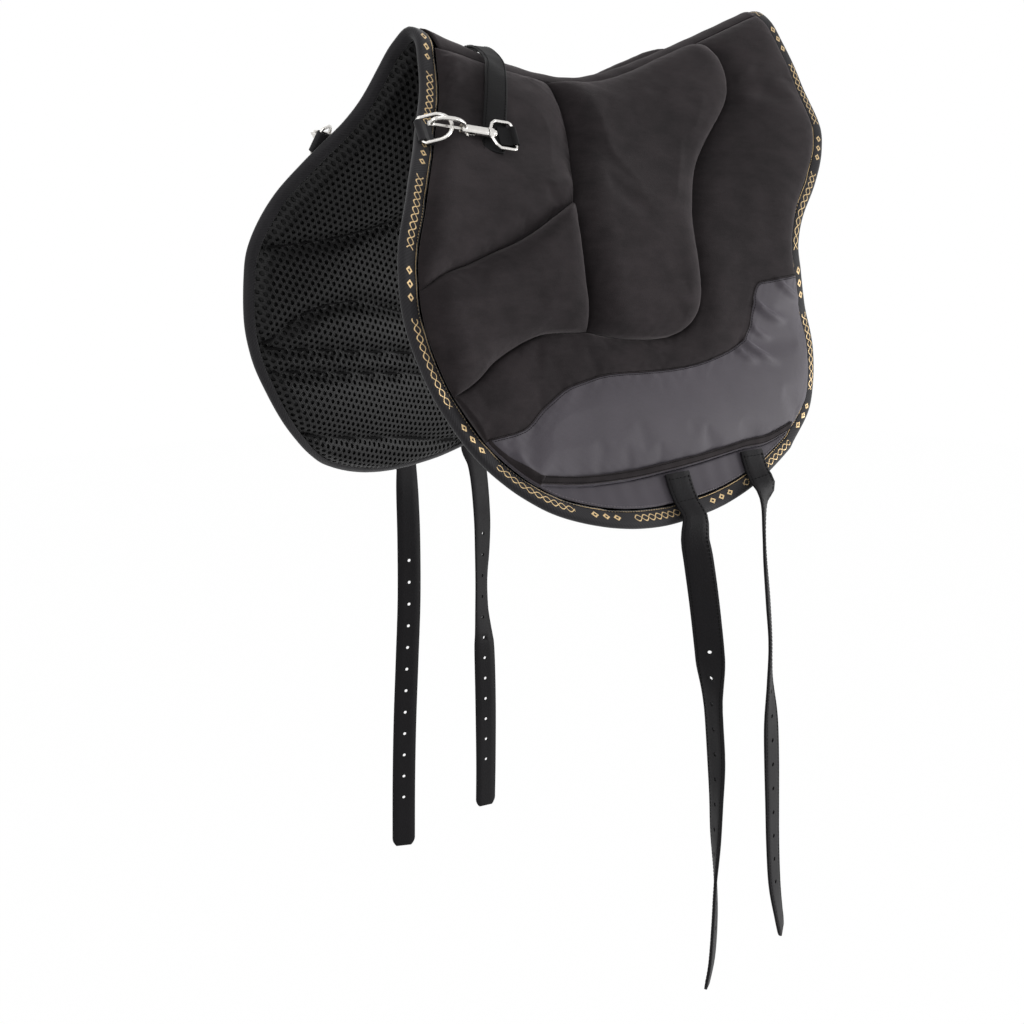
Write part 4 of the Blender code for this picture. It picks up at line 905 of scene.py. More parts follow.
# Places across the surround that face each other: outer edge, then inner edge
surroundPairs = (
    ((0.373, 0.575), (0.080, 0.440)), ((0.215, 0.546), (0.062, 0.500)),
    ((0.182, 0.594), (0.052, 0.532)), ((0.130, 0.643), (0.014, 0.577)),
    ((-0.092, 0.672), (-0.096, 0.603)), ((-0.204, 0.698), (-0.210, 0.607)),
    ((-0.342, 0.788), (-0.379, 0.682)),
)


def shareNear(course, place):
    nearest = np.argmin(np.linalg.norm(course.points - place, axis=1))
    return course.run[nearest] / course.length


def flapCushions():
    look, inset, spacing = cushionLook, layers["panelInset"], cushionLook["spacing"]
    seatX = [share * pad["length"] for share in seatTopShares]
    frontEdge = belowChannel(edgeStretch("spineFront", "rollEnd", inset))
    rearEdge = belowChannel(edgeStretch("spineRear", "surroundHeel", inset))
    rollUp, lowerRollUp = seams["roll"].flipped(), seams["lowerRoll"].flipped()
    around = {
        "front_upper_roll": (frontEdge, seams["seatFrontHigh"],
                             channelStretch(frontEdge.points[0, 0], seatX[0]), rollUp),
        "front_lower_roll": (edgeStretch("rollEnd", "lowerRollEnd", inset),
                             seams["seatFrontLow"], rollUp, lowerRollUp),
        "seat": (seams["seatFront"], seams["seatRear"], channelStretch(*seatX),
                 seams["seatBottom"]),
        "flap": (edgeStretch("surroundTip", "hemToe", inset),
                 edgeStretch("surroundHeel", "hemHeel", inset), seams["flapTop"].flipped(),
                 seams["hem"]),
    }
    for seed, (name, lines) in enumerate(around.items()):
        rows, columns = (clustered(max(look["fewest"], int(max(a.length, b.length) / spacing)))
                         for a, b in (lines[:2], lines[2:]))
        cushion(name, patch(*lines, rows, columns), seed)
    inner = joined(seams["seatRear"], seams["seatBottom"].flipped(), seams["lowerRoll"])
    outer = joined(rearEdge, seams["flapTop"])
    outerRows = clustered(int(outer.length / spacing), look["surroundCluster"])
    outerAt, innerAt = ([0.0] + [shareNear(line, onPad(place)) for place in places] + [1.0]
                        for line, places in zip((outer, inner), zip(*surroundPairs)))
    innerRows = np.interp(outerRows, outerAt, innerAt)
    columns = clustered(look["surroundColumns"])
    cushion("surround", ruled(inner, outer, innerRows, outerRows, columns), look["surroundSeed"])


flapCushions()


# Flat sewn strips: the ridge band, the hem, and the folded strip over the flap's lower seam, from
# under which the billets come out. That strip is dark suede, standing for the satin's fold with
# painted shade in its colour.
bandLook = {
    "thick": 0.0016, "crown": 0.0004, "spacing": 0.005, "ripple": 0.0003, "rippleWave": 0.037,
    "hem": 0.0012, "hemCrown": 0.0004, "hemEdge": 0.006, "hemRipple": 0.0002, "hemWave": 0.021,
    "columns": 13, "rippleTurn": 3, "hemRows": 14, "hemCluster": 0.2, "hemColumns": 110,
}
# The fold over the hem seam: a strip of the dark suede, so that the satin's fold carries painted
# shade.
hemFoldShadeLook = {
    "above": 0.0088, "below": -0.0012, "lift": 0.0019, "thick": 0.0011, "panel": 0.0103,
    "edge": 0.0005, "ripple": 0.0002, "wave": 0.018, "rows": 130, "columns": 9, "edgeSlope": 4,
}


def rippled(x, wave):
    return np.sin(x * 2 * math.pi / wave)


def spineBand():
    look = bandLook
    front, rear = (edgePoint(n, layers["panelInset"])[0] for n in ("spineFront", "spineRear"))
    x = np.linspace(front, rear, int((rear - front) / look["spacing"]))[:, None]
    across = np.linspace(-1, 1, look["columns"])[None, :]
    v = across * (channelHalf(x) - cushionLook["seam"])
    base = layers["coverBase"]
    ripple = look["ripple"] * rippled(x, look["rippleWave"]) * np.cos(across * look["rippleTurn"])
    high = base + look["thick"] + look["crown"] * (1 - across**4) + ripple
    laidStrip("ridge_band", np.stack(np.broadcast_arrays(x, v), -1), base, high, 1,
              "suede", "suede", "spine_band")


def hemStrip():
    look, inset, base = bandLook, layers["panelInset"], layers["coverBase"]
    around = (edgeStretch("hemToe", "stripToe", inset), edgeStretch("hemHeel", "stripHeel", inset),
              seams["hem"], edgeStretch("stripToe", "stripHeel", inset))
    grid = patch(*around, clustered(look["hemRows"], look["hemCluster"]),
                 np.linspace(0, 1, look["hemColumns"]))
    rise = look["hem"] + look["hemCrown"] * rollOff(
        np.minimum(*sideDistances(grid)), look["hemEdge"])
    rise = rise + look["hemRipple"] * rippled(grid[..., 0], look["hemWave"])
    for prefix, way in sides.items():
        laidStrip(f"{prefix}_hem_band", grid, base, base + rise, way, "satin", "satin_cloth",
                  f"{prefix}_hem_strip")


def hemFoldShade():
    look = hemFoldShadeLook
    # Dark suede laid over the seam, where the satin folds under into shadow: painted shade on a
    # real fold.
    points = seams["hem"].at(np.linspace(0.0, 1.0, look["rows"]))
    upward = -asideOf(np.gradient(points, axis=0))
    offsets = np.linspace(-look["below"], look["above"], look["columns"])
    grid = points[:, None, :] + upward[:, None, :] * offsets[None, :, None]
    across, slope = np.abs(np.linspace(-1, 1, look["columns"])), look["edgeSlope"]
    edge = look["edge"] * eased(across * slope - (slope - 1))[None, :]
    high = layers["coverBase"] + cushionLook["cover"] + sharedPanel(grid, look["panel"])
    high = high + look["lift"] - edge + look["ripple"] * rippled(grid[..., 0], look["wave"])
    for prefix, way in sides.items():
        laidStrip(f"{prefix}_hem_fold_shade", grid, high - look["thick"], high, way, "suede", "suede")


spineBand()
hemStrip()
hemFoldShade()
print("ridge band and hem")


# The folded tape round the whole edge
bindingLook = {
    "step": 0.0035, "wander": 0.0007, "arc": 9, "flat": 7, "underShare": 0.62, "crown": 0.0004,
    "lip": 0.0002, "waves": ((29, 0.5), (47, 0.6), (71, 0.5), (113, 0.3)),
}


def bindingProfile():
    look, thick, width = bindingLook, layers["bindingThick"], layers["bindingWidth"]
    high, low = layers["bindingHigh"] + thick, -layers["bindingSlack"] - thick
    radius, middle = (high - low) / 2, (high + low) / 2
    turns = np.linspace(math.pi / 2, 3 * math.pi / 2, look["arc"])
    bend = lambda size, angles: [
        (radius + size * math.cos(t), middle + size * math.sin(t)) for t in angles]
    crown = look["crown"] * np.sin(np.linspace(0, math.pi, look["flat"]))
    over = np.linspace(width, radius, look["flat"])
    under = np.linspace(radius, width * look["underShare"], look["flat"])
    outer = [(a, high + c) for a, c in zip(over, crown)][:-1] + bend(radius, turns)
    outer += [(a, low - c) for a, c in zip(under, crown[::-1])][1:]
    inner = [(under[-1] - look["lip"], low + thick), (radius, low + thick)]
    inner += bend(radius - thick, turns[::-1][1:-1])
    inner += [(radius, high - thick), (width - look["lip"], high - thick)]
    return np.array(outer + inner), np.concatenate([runOf(np.array(outer)), -np.ones(len(inner))])


def edgeBinding():
    look = bindingLook
    profile, reach = bindingProfile()
    loop, inward = (np.vstack([part, part[:1]]) for part in (outline, outlineInward))
    run = runOf(loop)
    count = int(run[-1] / look["step"])
    where = np.linspace(0, run[-1], count, endpoint=False)
    place, inward = valuesAt(where, run, loop), unit(valuesAt(where, run, inward))
    phase = where / run[-1] * 2 * math.pi
    waver = sum(np.sin(phase * n + rng.uniform(0, 6.28)) * a for n, a in look["waves"])
    sections = []
    for inset, height in profile:
        points = place + inward * inset
        lift = look["wander"] * waver * (inset / layers["bindingWidth"])
        sections.append(drape(points[:, 0], points[:, 1], height + lift))
    points, faces = swept(np.stack(sections, axis=1), closed=True)
    alongOf, acrossOf = np.repeat(where, len(profile)), np.tile(reach, count)
    uv = []
    for face in faces:
        u = alongOf[face]
        if u.max() - u.min() > run[-1] / 2:
            u = np.where(u < run[-1] / 2, u + run[-1], u)
        uv.append(np.stack([u, acrossOf[face]], -1))
    piece = newPiece("binding_tape", points, faces, "tape", np.vstack(uv))
    dress(outwardFaces(piece), "pad", "binding_tape", "edge_binding")


edgeBinding()
print("binding")


# Geometry Nodes: perforated mesh cloth and rows of stitches
def newTree(name, inputs):
    tree = bpy.data.node_groups.new(name, "GeometryNodeTree")
    tree.interface.new_socket("Geometry", in_out="INPUT", socket_type="NodeSocketGeometry")
    ids = {}
    for label, value in inputs.items():
        kind = "NodeSocketMaterial" if value is None else "NodeSocketFloat"
        made = tree.interface.new_socket(label, in_out="INPUT", socket_type=kind)
        if value is not None:
            made.default_value = value
        ids[label] = made.identifier
    tree.interface.new_socket("Geometry", in_out="OUTPUT", socket_type="NodeSocketGeometry")
    nodes = Nodes(tree)
    return nodes, nodes.add("NodeGroupInput").outputs, ids


def closeTree(nodes, geometry, material):
    whole = nodes.add("GeometryNodeRealizeInstances", {"Geometry": geometry}).outputs["Geometry"]
    done = nodes.add("GeometryNodeSetMaterial", {"Geometry": whole, "Material": material})
    nodes.add("NodeGroupOutput", {"Geometry": done.outputs["Geometry"]})
    return nodes.tree


def perforationTree():
    nodes, given, ids = newTree("perforated mesh", {
        "Hole share": 0.56, "Depth": 0.0022, "Floor share": 0.82, "Material": None})
    dual = nodes.add("GeometryNodeDualMesh", {"Mesh": given["Geometry"], "Keep Boundaries": True})
    rims = nodes.add("GeometryNodeExtrudeMesh", {
        "Mesh": dual.outputs["Dual Mesh"], "Individual": True, "Offset Scale": 0.0},
        mode="FACES").outputs
    shrunk = nodes.add("GeometryNodeScaleElements", {
        "Geometry": rims["Mesh"], "Selection": rims["Top"], "Scale": given["Hole share"]})
    pockets = nodes.add("GeometryNodeExtrudeMesh", {
        "Mesh": shrunk.outputs["Geometry"], "Selection": rims["Top"], "Individual": True,
        "Offset Scale": nodes.times(given["Depth"], -1.0)}, mode="FACES").outputs
    walls = nodes.add("FunctionNodeBooleanMath", {0: pockets["Top"], 1: pockets["Side"]},
                      operation="OR").outputs[0]
    # Marks the walls and floors of the holes, which the mesh material paints with shade.
    marked = nodes.add("GeometryNodeStoreNamedAttribute", {
        "Geometry": pockets["Mesh"], "Selection": walls, "Name": "pocketShade", "Value": 1.0},
        data_type="FLOAT", domain="FACE")
    narrow = nodes.add("GeometryNodeScaleElements", {
        "Geometry": marked.outputs["Geometry"], "Selection": pockets["Top"],
        "Scale": given["Floor share"]})
    return closeTree(nodes, narrow.outputs["Geometry"], given["Material"]), ids


def stitchTree():
    nodes, given, ids = newTree("row of stitches", {
        "Spacing": 0.0034, "Length": 0.0024, "Radius": 0.0003, "Material": None})
    curve = nodes.add("GeometryNodeMeshToCurve", {"Mesh": given["Geometry"]})
    places = nodes.add("GeometryNodeCurveToPoints", {
        "Curve": curve.outputs["Curve"], "Length": given["Spacing"]}, mode="LENGTH").outputs
    thread = nodes.add("GeometryNodeMeshCylinder", {
        "Vertices": 6, "Radius": given["Radius"], "Depth": given["Length"]})
    rows = nodes.add("GeometryNodeInstanceOnPoints", {
        "Points": places["Points"], "Rotation": places["Rotation"],
        "Instance": thread.outputs["Mesh"]})
    return closeTree(nodes, rows.outputs["Instances"], given["Material"]), ids


perforations = perforationTree()
stitches = stitchTree()
# Thread, slot, spacing, length and radius of each kind of stitching
stitchLook = {
    "flap_seam": ("darkThread", "suede", 0.0030, 0.0021, 0.00026),
    "hem": ("darkThread", "satin_cloth", 0.0032, 0.0023, 0.00028),
    "foot": ("greyThread", "satin_cloth", 0.0036, 0.0025, 0.0003),
    "tape": ("darkThread", "binding_tape", 0.0036, 0.0025, 0.00026),
    "quilting": ("darkThread", "spacer_mesh", 0.0040, 0.0034, 0.0006),
    "billet": ("darkThread", "billet_leather", 0.0042, 0.0030, 0.0003),
    "strap": ("darkThread", "strap_leather", 0.0038, 0.0026, 0.0003),
}


def runTree(piece, made, values):
    tree, ids = made
    modifier = piece.modifiers.new("nodes", "NODES")
    modifier.node_group = tree
    for label, value in values.items():
        modifier[ids[label]] = value
    return bakeModifiers(piece)


def stitchRow(name, rows, kind, body="pad"):
    thread, slot, spacing, length, radius = stitchLook[kind]
    edges, start = [], 0
    for row in rows:
        edges += [(start + i, start + i + 1) for i in range(len(row) - 1)]
        start += len(row)
    piece = placed(name, newMesh(name, np.vstack(rows), edges, []))
    runTree(piece, stitches, {
        "Spacing": spacing, "Length": length, "Radius": radius, "Material": finishes[thread]})
    piece.data.shade_smooth()
    return dress(piece, body, slot)


# The lining: perforated spacer mesh, quilted along sewn lines
liningLook = {
    "pitch": 0.0078, "rowShare": 0.866, "holeShare": 0.58, "depth": 0.0020, "puff": 0.0100,
    "press": 0.0012, "soft": 0.0058, "edge": 0.016, "back": 0.0025, "tuck": 0.0030,
    "ridge": 0.02, "ripple": 0.0005, "rippleWave": 0.083, "rippleSlant": 40,
    "spineGap": 0.0004, "sewnShadeWidth": 0.0030, "sewnShade": 0.85,
}
quiltShares = (
    ((-0.600, 0.552), (-0.563, 0.540), (-0.491, 0.509), (-0.415, 0.475), (-0.331, 0.427),
        (-0.250, 0.372), (-0.160, 0.330), (-0.040, 0.300), (0.120, 0.290), (0.300, 0.300),
        (0.460, 0.330), (0.580, 0.350)),
    ((-0.600, 0.760), (-0.542, 0.733), (-0.505, 0.688), (-0.446, 0.637), (-0.353, 0.596),
        (-0.276, 0.586), (-0.194, 0.585), (-0.060, 0.585), (0.080, 0.575), (0.240, 0.560),
        (0.400, 0.520)),
    ((-0.600, 0.760), (-0.534, 0.746), (-0.375, 0.711), (-0.183, 0.676), (0.000, 0.665),
        (0.200, 0.660), (0.400, 0.655)),
    ((-0.560, 0.805), (-0.504, 0.790), (-0.327, 0.752), (-0.115, 0.719), (0.080, 0.735),
        (0.240, 0.770), (0.380, 0.800)),
    ((-0.480, 0.925), (-0.362, 0.913), (-0.144, 0.881), (0.000, 0.890), (0.110, 0.912),
        (0.220, 0.920)),
)


def insideFlap(points, inset):
    loop = outline + inset * outlineInward
    x, v = points.T
    inside = np.zeros(len(points), bool)
    for (x0, v0), (x1, v1) in zip(loop, np.roll(loop, -1, axis=0)):
        with np.errstate(divide="ignore", invalid="ignore"):
            at = x0 + (v - v0) * (x1 - x0) / (v1 - v0)
        inside ^= ((v0 > v) != (v1 > v)) & (x < at)
    return inside


quiltLines = [smoothThrough(onPad(rows), 8) for rows in quiltShares]


def seamDistance(points):
    return np.min([distanceTo(line, points) for line in quiltLines], axis=0)


# How far the lining lies from the pad's middle sheet: the quilting bulges towards the horse
def quiltHeight(points):
    look = liningLook
    edge = distanceTo(outline[:outlineLabels["spineRear"] * outlineSteps + 1], points)
    puff = 1 - np.exp(-seamDistance(points) / look["soft"])
    free = eased((edge - 2 * look["tuck"]) / look["edge"])
    ridge = eased(np.abs(points[:, 1]) / look["ridge"])
    turns = points[:, 0] * 2 * math.pi / look["rippleWave"] + points[:, 1] * look["rippleSlant"]
    ripple = look["ripple"] * np.sin(turns)
    return -(look["puff"] * puff + ripple) * free * ridge + look["press"] * (1 - puff) * free


# A mesh of equal triangles over the flap, which the dual mesh turns into six-sided cells
def liningGrid():
    pitch, tall = liningLook["pitch"], liningLook["pitch"] * liningLook["rowShare"]
    low, high = outline.min(axis=0), outline.max(axis=0)
    rows, columns = int(high[1] / tall) + 2, int((high[0] - low[0]) / pitch) + 3
    r, c = np.meshgrid(np.arange(rows), np.arange(columns), indexing="ij")
    places = np.stack([low[0] + c * pitch + (r % 2) * pitch / 2,
                       liningLook["spineGap"] + r * tall], -1).reshape(-1, 2)
    index = np.arange(rows * columns).reshape(rows, columns)
    here, right, below, far = index[:-1, :-1], index[:-1, 1:], index[1:, :-1], index[1:, 1:]
    even = np.stack([here, right, below, right, far, below], -1)
    odd = np.stack([here, far, below, here, right, far], -1)
    triangles = np.where((r % 2)[:-1, :-1, None], odd, even).reshape(-1, 3)
    triangles = triangles[insideFlap(places, liningLook["tuck"])[triangles].all(axis=1)]
    used, triangles = np.unique(triangles, return_inverse=True)
    return places[used], triangles.reshape(-1, 3)


def tuckedRim(work, way):
    rim = [e for e in work.edges if e.is_boundary]
    made = bmesh.ops.extrude_edge_only(work, edges=rim)["geom"]
    for vertex in (g for g in made if isinstance(g, bmesh.types.BMVert)):
        vertex.co.y += way * liningLook["back"]
        vertex.co.z += liningLook["back"]


def lining():
    look = liningLook
    places, triangles = liningGrid()
    bulge = quiltHeight(places)
    # Painted shade along the quilting seams: the mesh darkens towards each seam line, in the shade
    # of its groove.
    near = np.exp(-(seamDistance(places) / look["sewnShadeWidth"])**2) * look["sewnShade"]
    for prefix, way in sides.items():
        points = drape(places[:, 0], way * places[:, 1], bulge)
        faces = triangles if way < 0 else triangles[:, ::-1]
        piece = newPiece(f"{prefix}_spacer_mesh", points, faces.tolist(), "mesh")
        sewn = piece.data.attributes.new("sewn", "FLOAT", "POINT")
        sewn.data.foreach_set("value", near.astype(np.float32))
        runTree(piece, perforations, {
            "Hole share": look["holeShare"], "Depth": look["depth"], "Material": finishes["mesh"]})
        edited(painted(piece, "mesh").data, lambda work: tuckedRim(work, way))
        piece.data.shade_flat()
        dress(piece, "pad", "spacer_mesh", f"{prefix}_lining")


lining()
print("lining")


# The pinched line of each quilting seam with the shade in its groove, as a near-black strip of
# painted shadow raised to the level of the mesh on either side
quiltSeamShadowLook = {"half": 0.0017, "high": 0.0012, "pitch": 0.003, "raised": 0.0036, "columns": 5}


def quiltSeamShadow(name, course, way):
    look = quiltSeamShadowLook
    middle = course.evenly(look["pitch"])
    across = np.linspace(-1, 1, look["columns"])
    aside = asideOf(np.gradient(middle, axis=0))
    grid = middle[:, None, :] + aside[:, None, :] * look["half"] * across[None, :, None]
    crown = look["high"] * (1 - across**2)[None, :]
    level = quiltHeight(middle)[:, None] - look["raised"] - crown
    laidStrip(name, grid, level, level + look["high"] + look["raised"], way,
              "darkThread", "spacer_mesh")


# The toe's fold, in dark suede as painted shade, and the stitching laid on the finished cushions
toeFoldShadeLook = {
    "inset": 0.0008, "width": 0.0085, "columns": 7, "start": 0.30, "lifts": (-0.0006, 0.0009),
}
onTopLook = {
    "castFrom": 0.045, "lift": 0.00025, "step": 0.0015, "flapSeam": (0.0014, -0.0016),
    "hem": (-0.0022, -0.0072), "foot": 0.0016, "tape": 0.0022, "tapeLift": 0.0005,
    "quiltEnds": 0.018, "quiltSeamShadowEnds": 0.014, "quiltStep": 0.003, "quiltSunk": 0.0004,
    "rowEnds": (0.004, 0.996),
}


def surfaceTree(names):
    points, faces = [], []
    for name in names:
        mesh = bpy.data.objects[name].data
        start = len(points)
        points += [v.co.copy() for v in mesh.vertices]
        faces += [[start + i for i in p.vertices] for p in mesh.polygons]
    return BVHTree.FromPolygons(points, faces)


def castOnto(tree, places, way, base, lift):
    start = drape(places[:, 0], way * places[:, 1], onTopLook["castFrom"])
    for a, b in zip(start, drape(places[:, 0], way * places[:, 1], base)):
        direction = Vector(b - a).normalized()
        hit = tree.ray_cast(Vector(a), direction)[0]
        yield hit is not None, np.array((Vector(b) if hit is None else hit) - direction * lift)


def laidOn(tree, course, way):
    count = max(3, int(course.length / onTopLook["step"]))
    share = np.linspace(*onTopLook["rowEnds"], count)
    found = castOnto(tree, course.at(share), way, 0.0, onTopLook["lift"])
    return np.array([point for met, point in found if met])


# A strip of the dark suede along the toe beside the binding. It is the satin's fold there, made
# darker as painted shade.
def toeFoldShade():
    look = toeFoldShadeLook
    grid = np.stack([
        edgeStretch("surroundTip", "hemToe", layers["panelInset"] + look["inset"] + d).points
        for d in np.linspace(0.0, 1.0, look["columns"]) * look["width"]], axis=1)
    narrow = mix(look["start"], 1, eased(np.linspace(0.0, 1.0, len(grid))))[:, None, None]
    grid = grid[:, :1] + (grid - grid[:, :1]) * narrow
    for prefix, way in sides.items():
        tree = surfaceTree([f"{prefix}_{n}" for n in ("flap_pad", "surround_pad", "hem_fold_shade")])
        low, high = (
            np.array([point for _, point in castOnto(
                tree, grid.reshape(-1, 2), way, layers["coverBase"], lift)])
            .reshape(*grid.shape[:2], 3) for lift in look["lifts"])
        points, faces = slab(low, high, flip=way > 0)
        dress(outwardFaces(newPiece(f"{prefix}_toe_fold_shade", points, faces, "suede")), "pad", "suede")


def outsideStitches():
    look = onTopLook
    under = [f"{name}_pad" for name in cushionPlans] + ["hem_band", "hem_fold_shade"]
    foot = edgeStretch("hemToe", "hemHeel", layers["panelInset"] + look["foot"])
    rim = edgeStretch("spineFront", "spineRear", layers["bindingWidth"] - look["tape"]).points[::2]
    tapeFaces = (layers["bindingHigh"] + layers["bindingThick"] + look["tapeLift"],
                 -layers["bindingSlack"] - layers["bindingThick"] - look["tapeLift"])
    for prefix, way in sides.items():
        tree = surfaceTree([f"{prefix}_{name}" for name in under] + ["ridge_band"])
        laid = lambda *courses: [laidOn(tree, course, way) for course in courses]
        quilts = []
        for line in quiltLines:
            places = Course(line[insideFlap(line, look["quiltEnds"])]).evenly(look["quiltStep"])
            quilts.append(drape(places[:, 0], way * places[:, 1],
                                quiltHeight(places) - look["quiltSunk"]))
        rows = {
            "flap_seam": laid(*(seams["flapTop"].moved(d) for d in look["flapSeam"])),
            "hem": laid(*(seams["hem"].moved(d) for d in look["hem"])), "foot": laid(foot),
            "tape": [drape(rim[:, 0], way * rim[:, 1], w) for w in tapeFaces], "quilting": quilts,
        }
        for kind, lines in rows.items():
            stitchRow(f"{prefix}_{kind}_stitches", lines, kind)
        # A near-black strip of painted shadow along each quilting seam.
        for number, line in enumerate(quiltLines, 1):
            kept = Course(line[insideFlap(line, look["quiltSeamShadowEnds"])])
            quiltSeamShadow(f"{prefix}_quilt_tape_{number}", kept, way)


toeFoldShade()
outsideStitches()
print("toe trim and stitches")


# Girth billets
billetLook = {
    "drop": 0.520, "overrun": 0.004, "width": 0.030, "thick": 0.003, "pitch": 0.0285,
    "hole": 0.0021, "cell": 0.012, "clear": 0.0015, "tipToHole": 0.066, "holes": 12,
    "lift": 0.0007, "frontX": -0.033, "rearX": 0.068, "ring": 0.006, "coverLow": 0.009,
    "hem": 0.0020, "holeSides": 16, "holeBevel": 0.0004, "holeFlare": 1.12, "edge": 0.0008,
    "tipRound": 0.010, "tipShares": (1.0, 0.72, 0.45, 0.22, 0.06, 0.0), "tipNarrow": 0.32,
    "sharp": math.radians(55), "threadInset": 0.0028, "threadHigh": 0.0001, "threadFrom": 0.003,
    "threadBox": 0.034, "threadTip": 0.008, "boxStitches": 8, "courseStep": 0.005,
}
# Along each billet, in shares of its drop: fall, place on x, way outwards, and turn in degrees
billetCourseShares = {
    "near_front_billet": (
        (0.040, -0.076, 0.012, 24), (0.079, -0.072, 0.018, 32), (0.159, -0.055, 0.019, 38),
        (0.242, -0.037, 0.017, 42), (0.284, -0.030, 0.017, 56), (0.326, -0.024, 0.016, 82),
        (0.368, -0.018, 0.015, 98), (0.411, -0.012, 0.015, 102), (0.497, 0.000, 0.013, 103),
        (0.584, 0.007, 0.010, 113), (0.671, 0.011, 0.008, 121), (0.761, 0.016, 0.006, 138),
        (0.851, 0.020, 0.004, 146), (0.938, 0.015, 0.004, 148), (0.993, 0.003, 0.003, 148),
    ),
    "near_rear_billet": (
        (0.032, 0.122, 0.011, -30), (0.090, 0.117, 0.018, -39), (0.151, 0.122, 0.019, -39),
        (0.237, 0.138, 0.017, -37), (0.323, 0.151, 0.016, -38), (0.408, 0.155, 0.015, -33),
        (0.496, 0.166, 0.013, -15), (0.586, 0.177, 0.010, -12), (0.677, 0.186, 0.008, -14),
        (0.770, 0.195, 0.006, -16), (0.865, 0.208, 0.004, -19), (0.940, 0.225, 0.004, -27),
        (0.991, 0.240, 0.003, -31),
    ),
    "far_front_billet": (
        (0.023, -0.056, 0.010, -2), (0.063, -0.050, 0.017, 8), (0.103, -0.048, 0.018, 14),
        (0.203, -0.046, 0.018, 20), (0.353, -0.050, 0.015, 22), (0.504, -0.060, 0.013, 22),
        (0.656, -0.072, 0.009, 22), (0.811, -0.081, 0.005, 22), (0.982, -0.086, 0.003, 22),
    ),
    "far_rear_billet": (
        (0.030, 0.142, 0.010, 0), (0.070, 0.164, 0.017, -4), (0.133, 0.177, 0.019, -6),
        (0.226, 0.184, 0.018, -8), (0.304, 0.182, 0.016, -14), (0.382, 0.178, 0.015, -23),
        (0.461, 0.178, 0.014, -19), (0.515, 0.181, 0.012, -6), (0.569, 0.184, 0.011, 11),
        (0.703, 0.184, 0.007, 14), (0.867, 0.182, 0.004, 9), (0.990, 0.179, 0.003, 7),
    ),
}


def hemDepth(x):
    return float(np.interp(x / pad["length"], *np.array(seamShares["hem"]).T)) * pad["flapDepth"]


def edgeDepth(x):
    edge = edgeStretch("stripToe", "stripHeel", 0.0).points
    return float(np.interp(x, edge[:, 0], edge[:, 1])) + billetLook["overrun"]


# Centre, width direction and face direction along a billet, from the hem to its tip
def billetFrames(name, way, x):
    look = billetLook
    lift = look["coverLow"] + look["hem"] + look["lift"] + look["thick"] / 2
    ahead = look["width"] / 2
    rows = []
    for share in (0.0, 0.33, 0.67, 1.0):
        depth = mix(hemDepth(x) + look["thick"], edgeDepth(x), share)
        spot = lambda dx, dv: drape(x + dx, way * (depth + dv), lift)
        along = spot(ahead, 0) - spot(-ahead, 0)
        down = unit(spot(0, sectionStep) - spot(0, -sectionStep))
        along -= down * (down @ along)
        level = along - down * along[2] / down[2]
        rows.append((*spot(0, 0), math.atan2(-level[1], level[0])))
    edge = rows[-1]
    rows += [
        (px * look["drop"], edge[1] + way * out * look["drop"], edge[2] - drop * look["drop"],
         math.radians(turn)) for drop, px, out, turn in billetCourseShares[name]]
    dense = Course(smoothThrough(rows, 8)).evenly(look["courseStep"])
    centre, turn = dense[:, :3], dense[:, 3]
    forward = unit(np.gradient(centre, axis=0))
    width = np.stack([np.cos(turn), -np.sin(turn), 0 * turn], -1)
    width = unit(width - forward * np.sum(width * forward, axis=1)[:, None])
    return centre, width, np.cross(forward, width)


# One punched hole: four fans on each face of the strap, then the wall between its rings
def holeFaces(first, corners):
    count = billetLook["holeSides"]
    step = count // 4
    faces = []
    for rim, corner in zip((first, first + 3 * count), corners):
        for quarter in range(4):
            spots = [(quarter * step + k) % count for k in range(step + 1)]
            faces.append([corner[quarter]] + [rim + s for s in spots][::-1])
            faces.append([corner[quarter], rim + spots[-1], corner[(quarter + 1) % 4]])
    for low in range(first, first + 3 * count, count):
        for k in range(count):
            m = (k + 1) % count
            faces.append([low + k, low + m, low + count + m, low + count + k])
    return faces


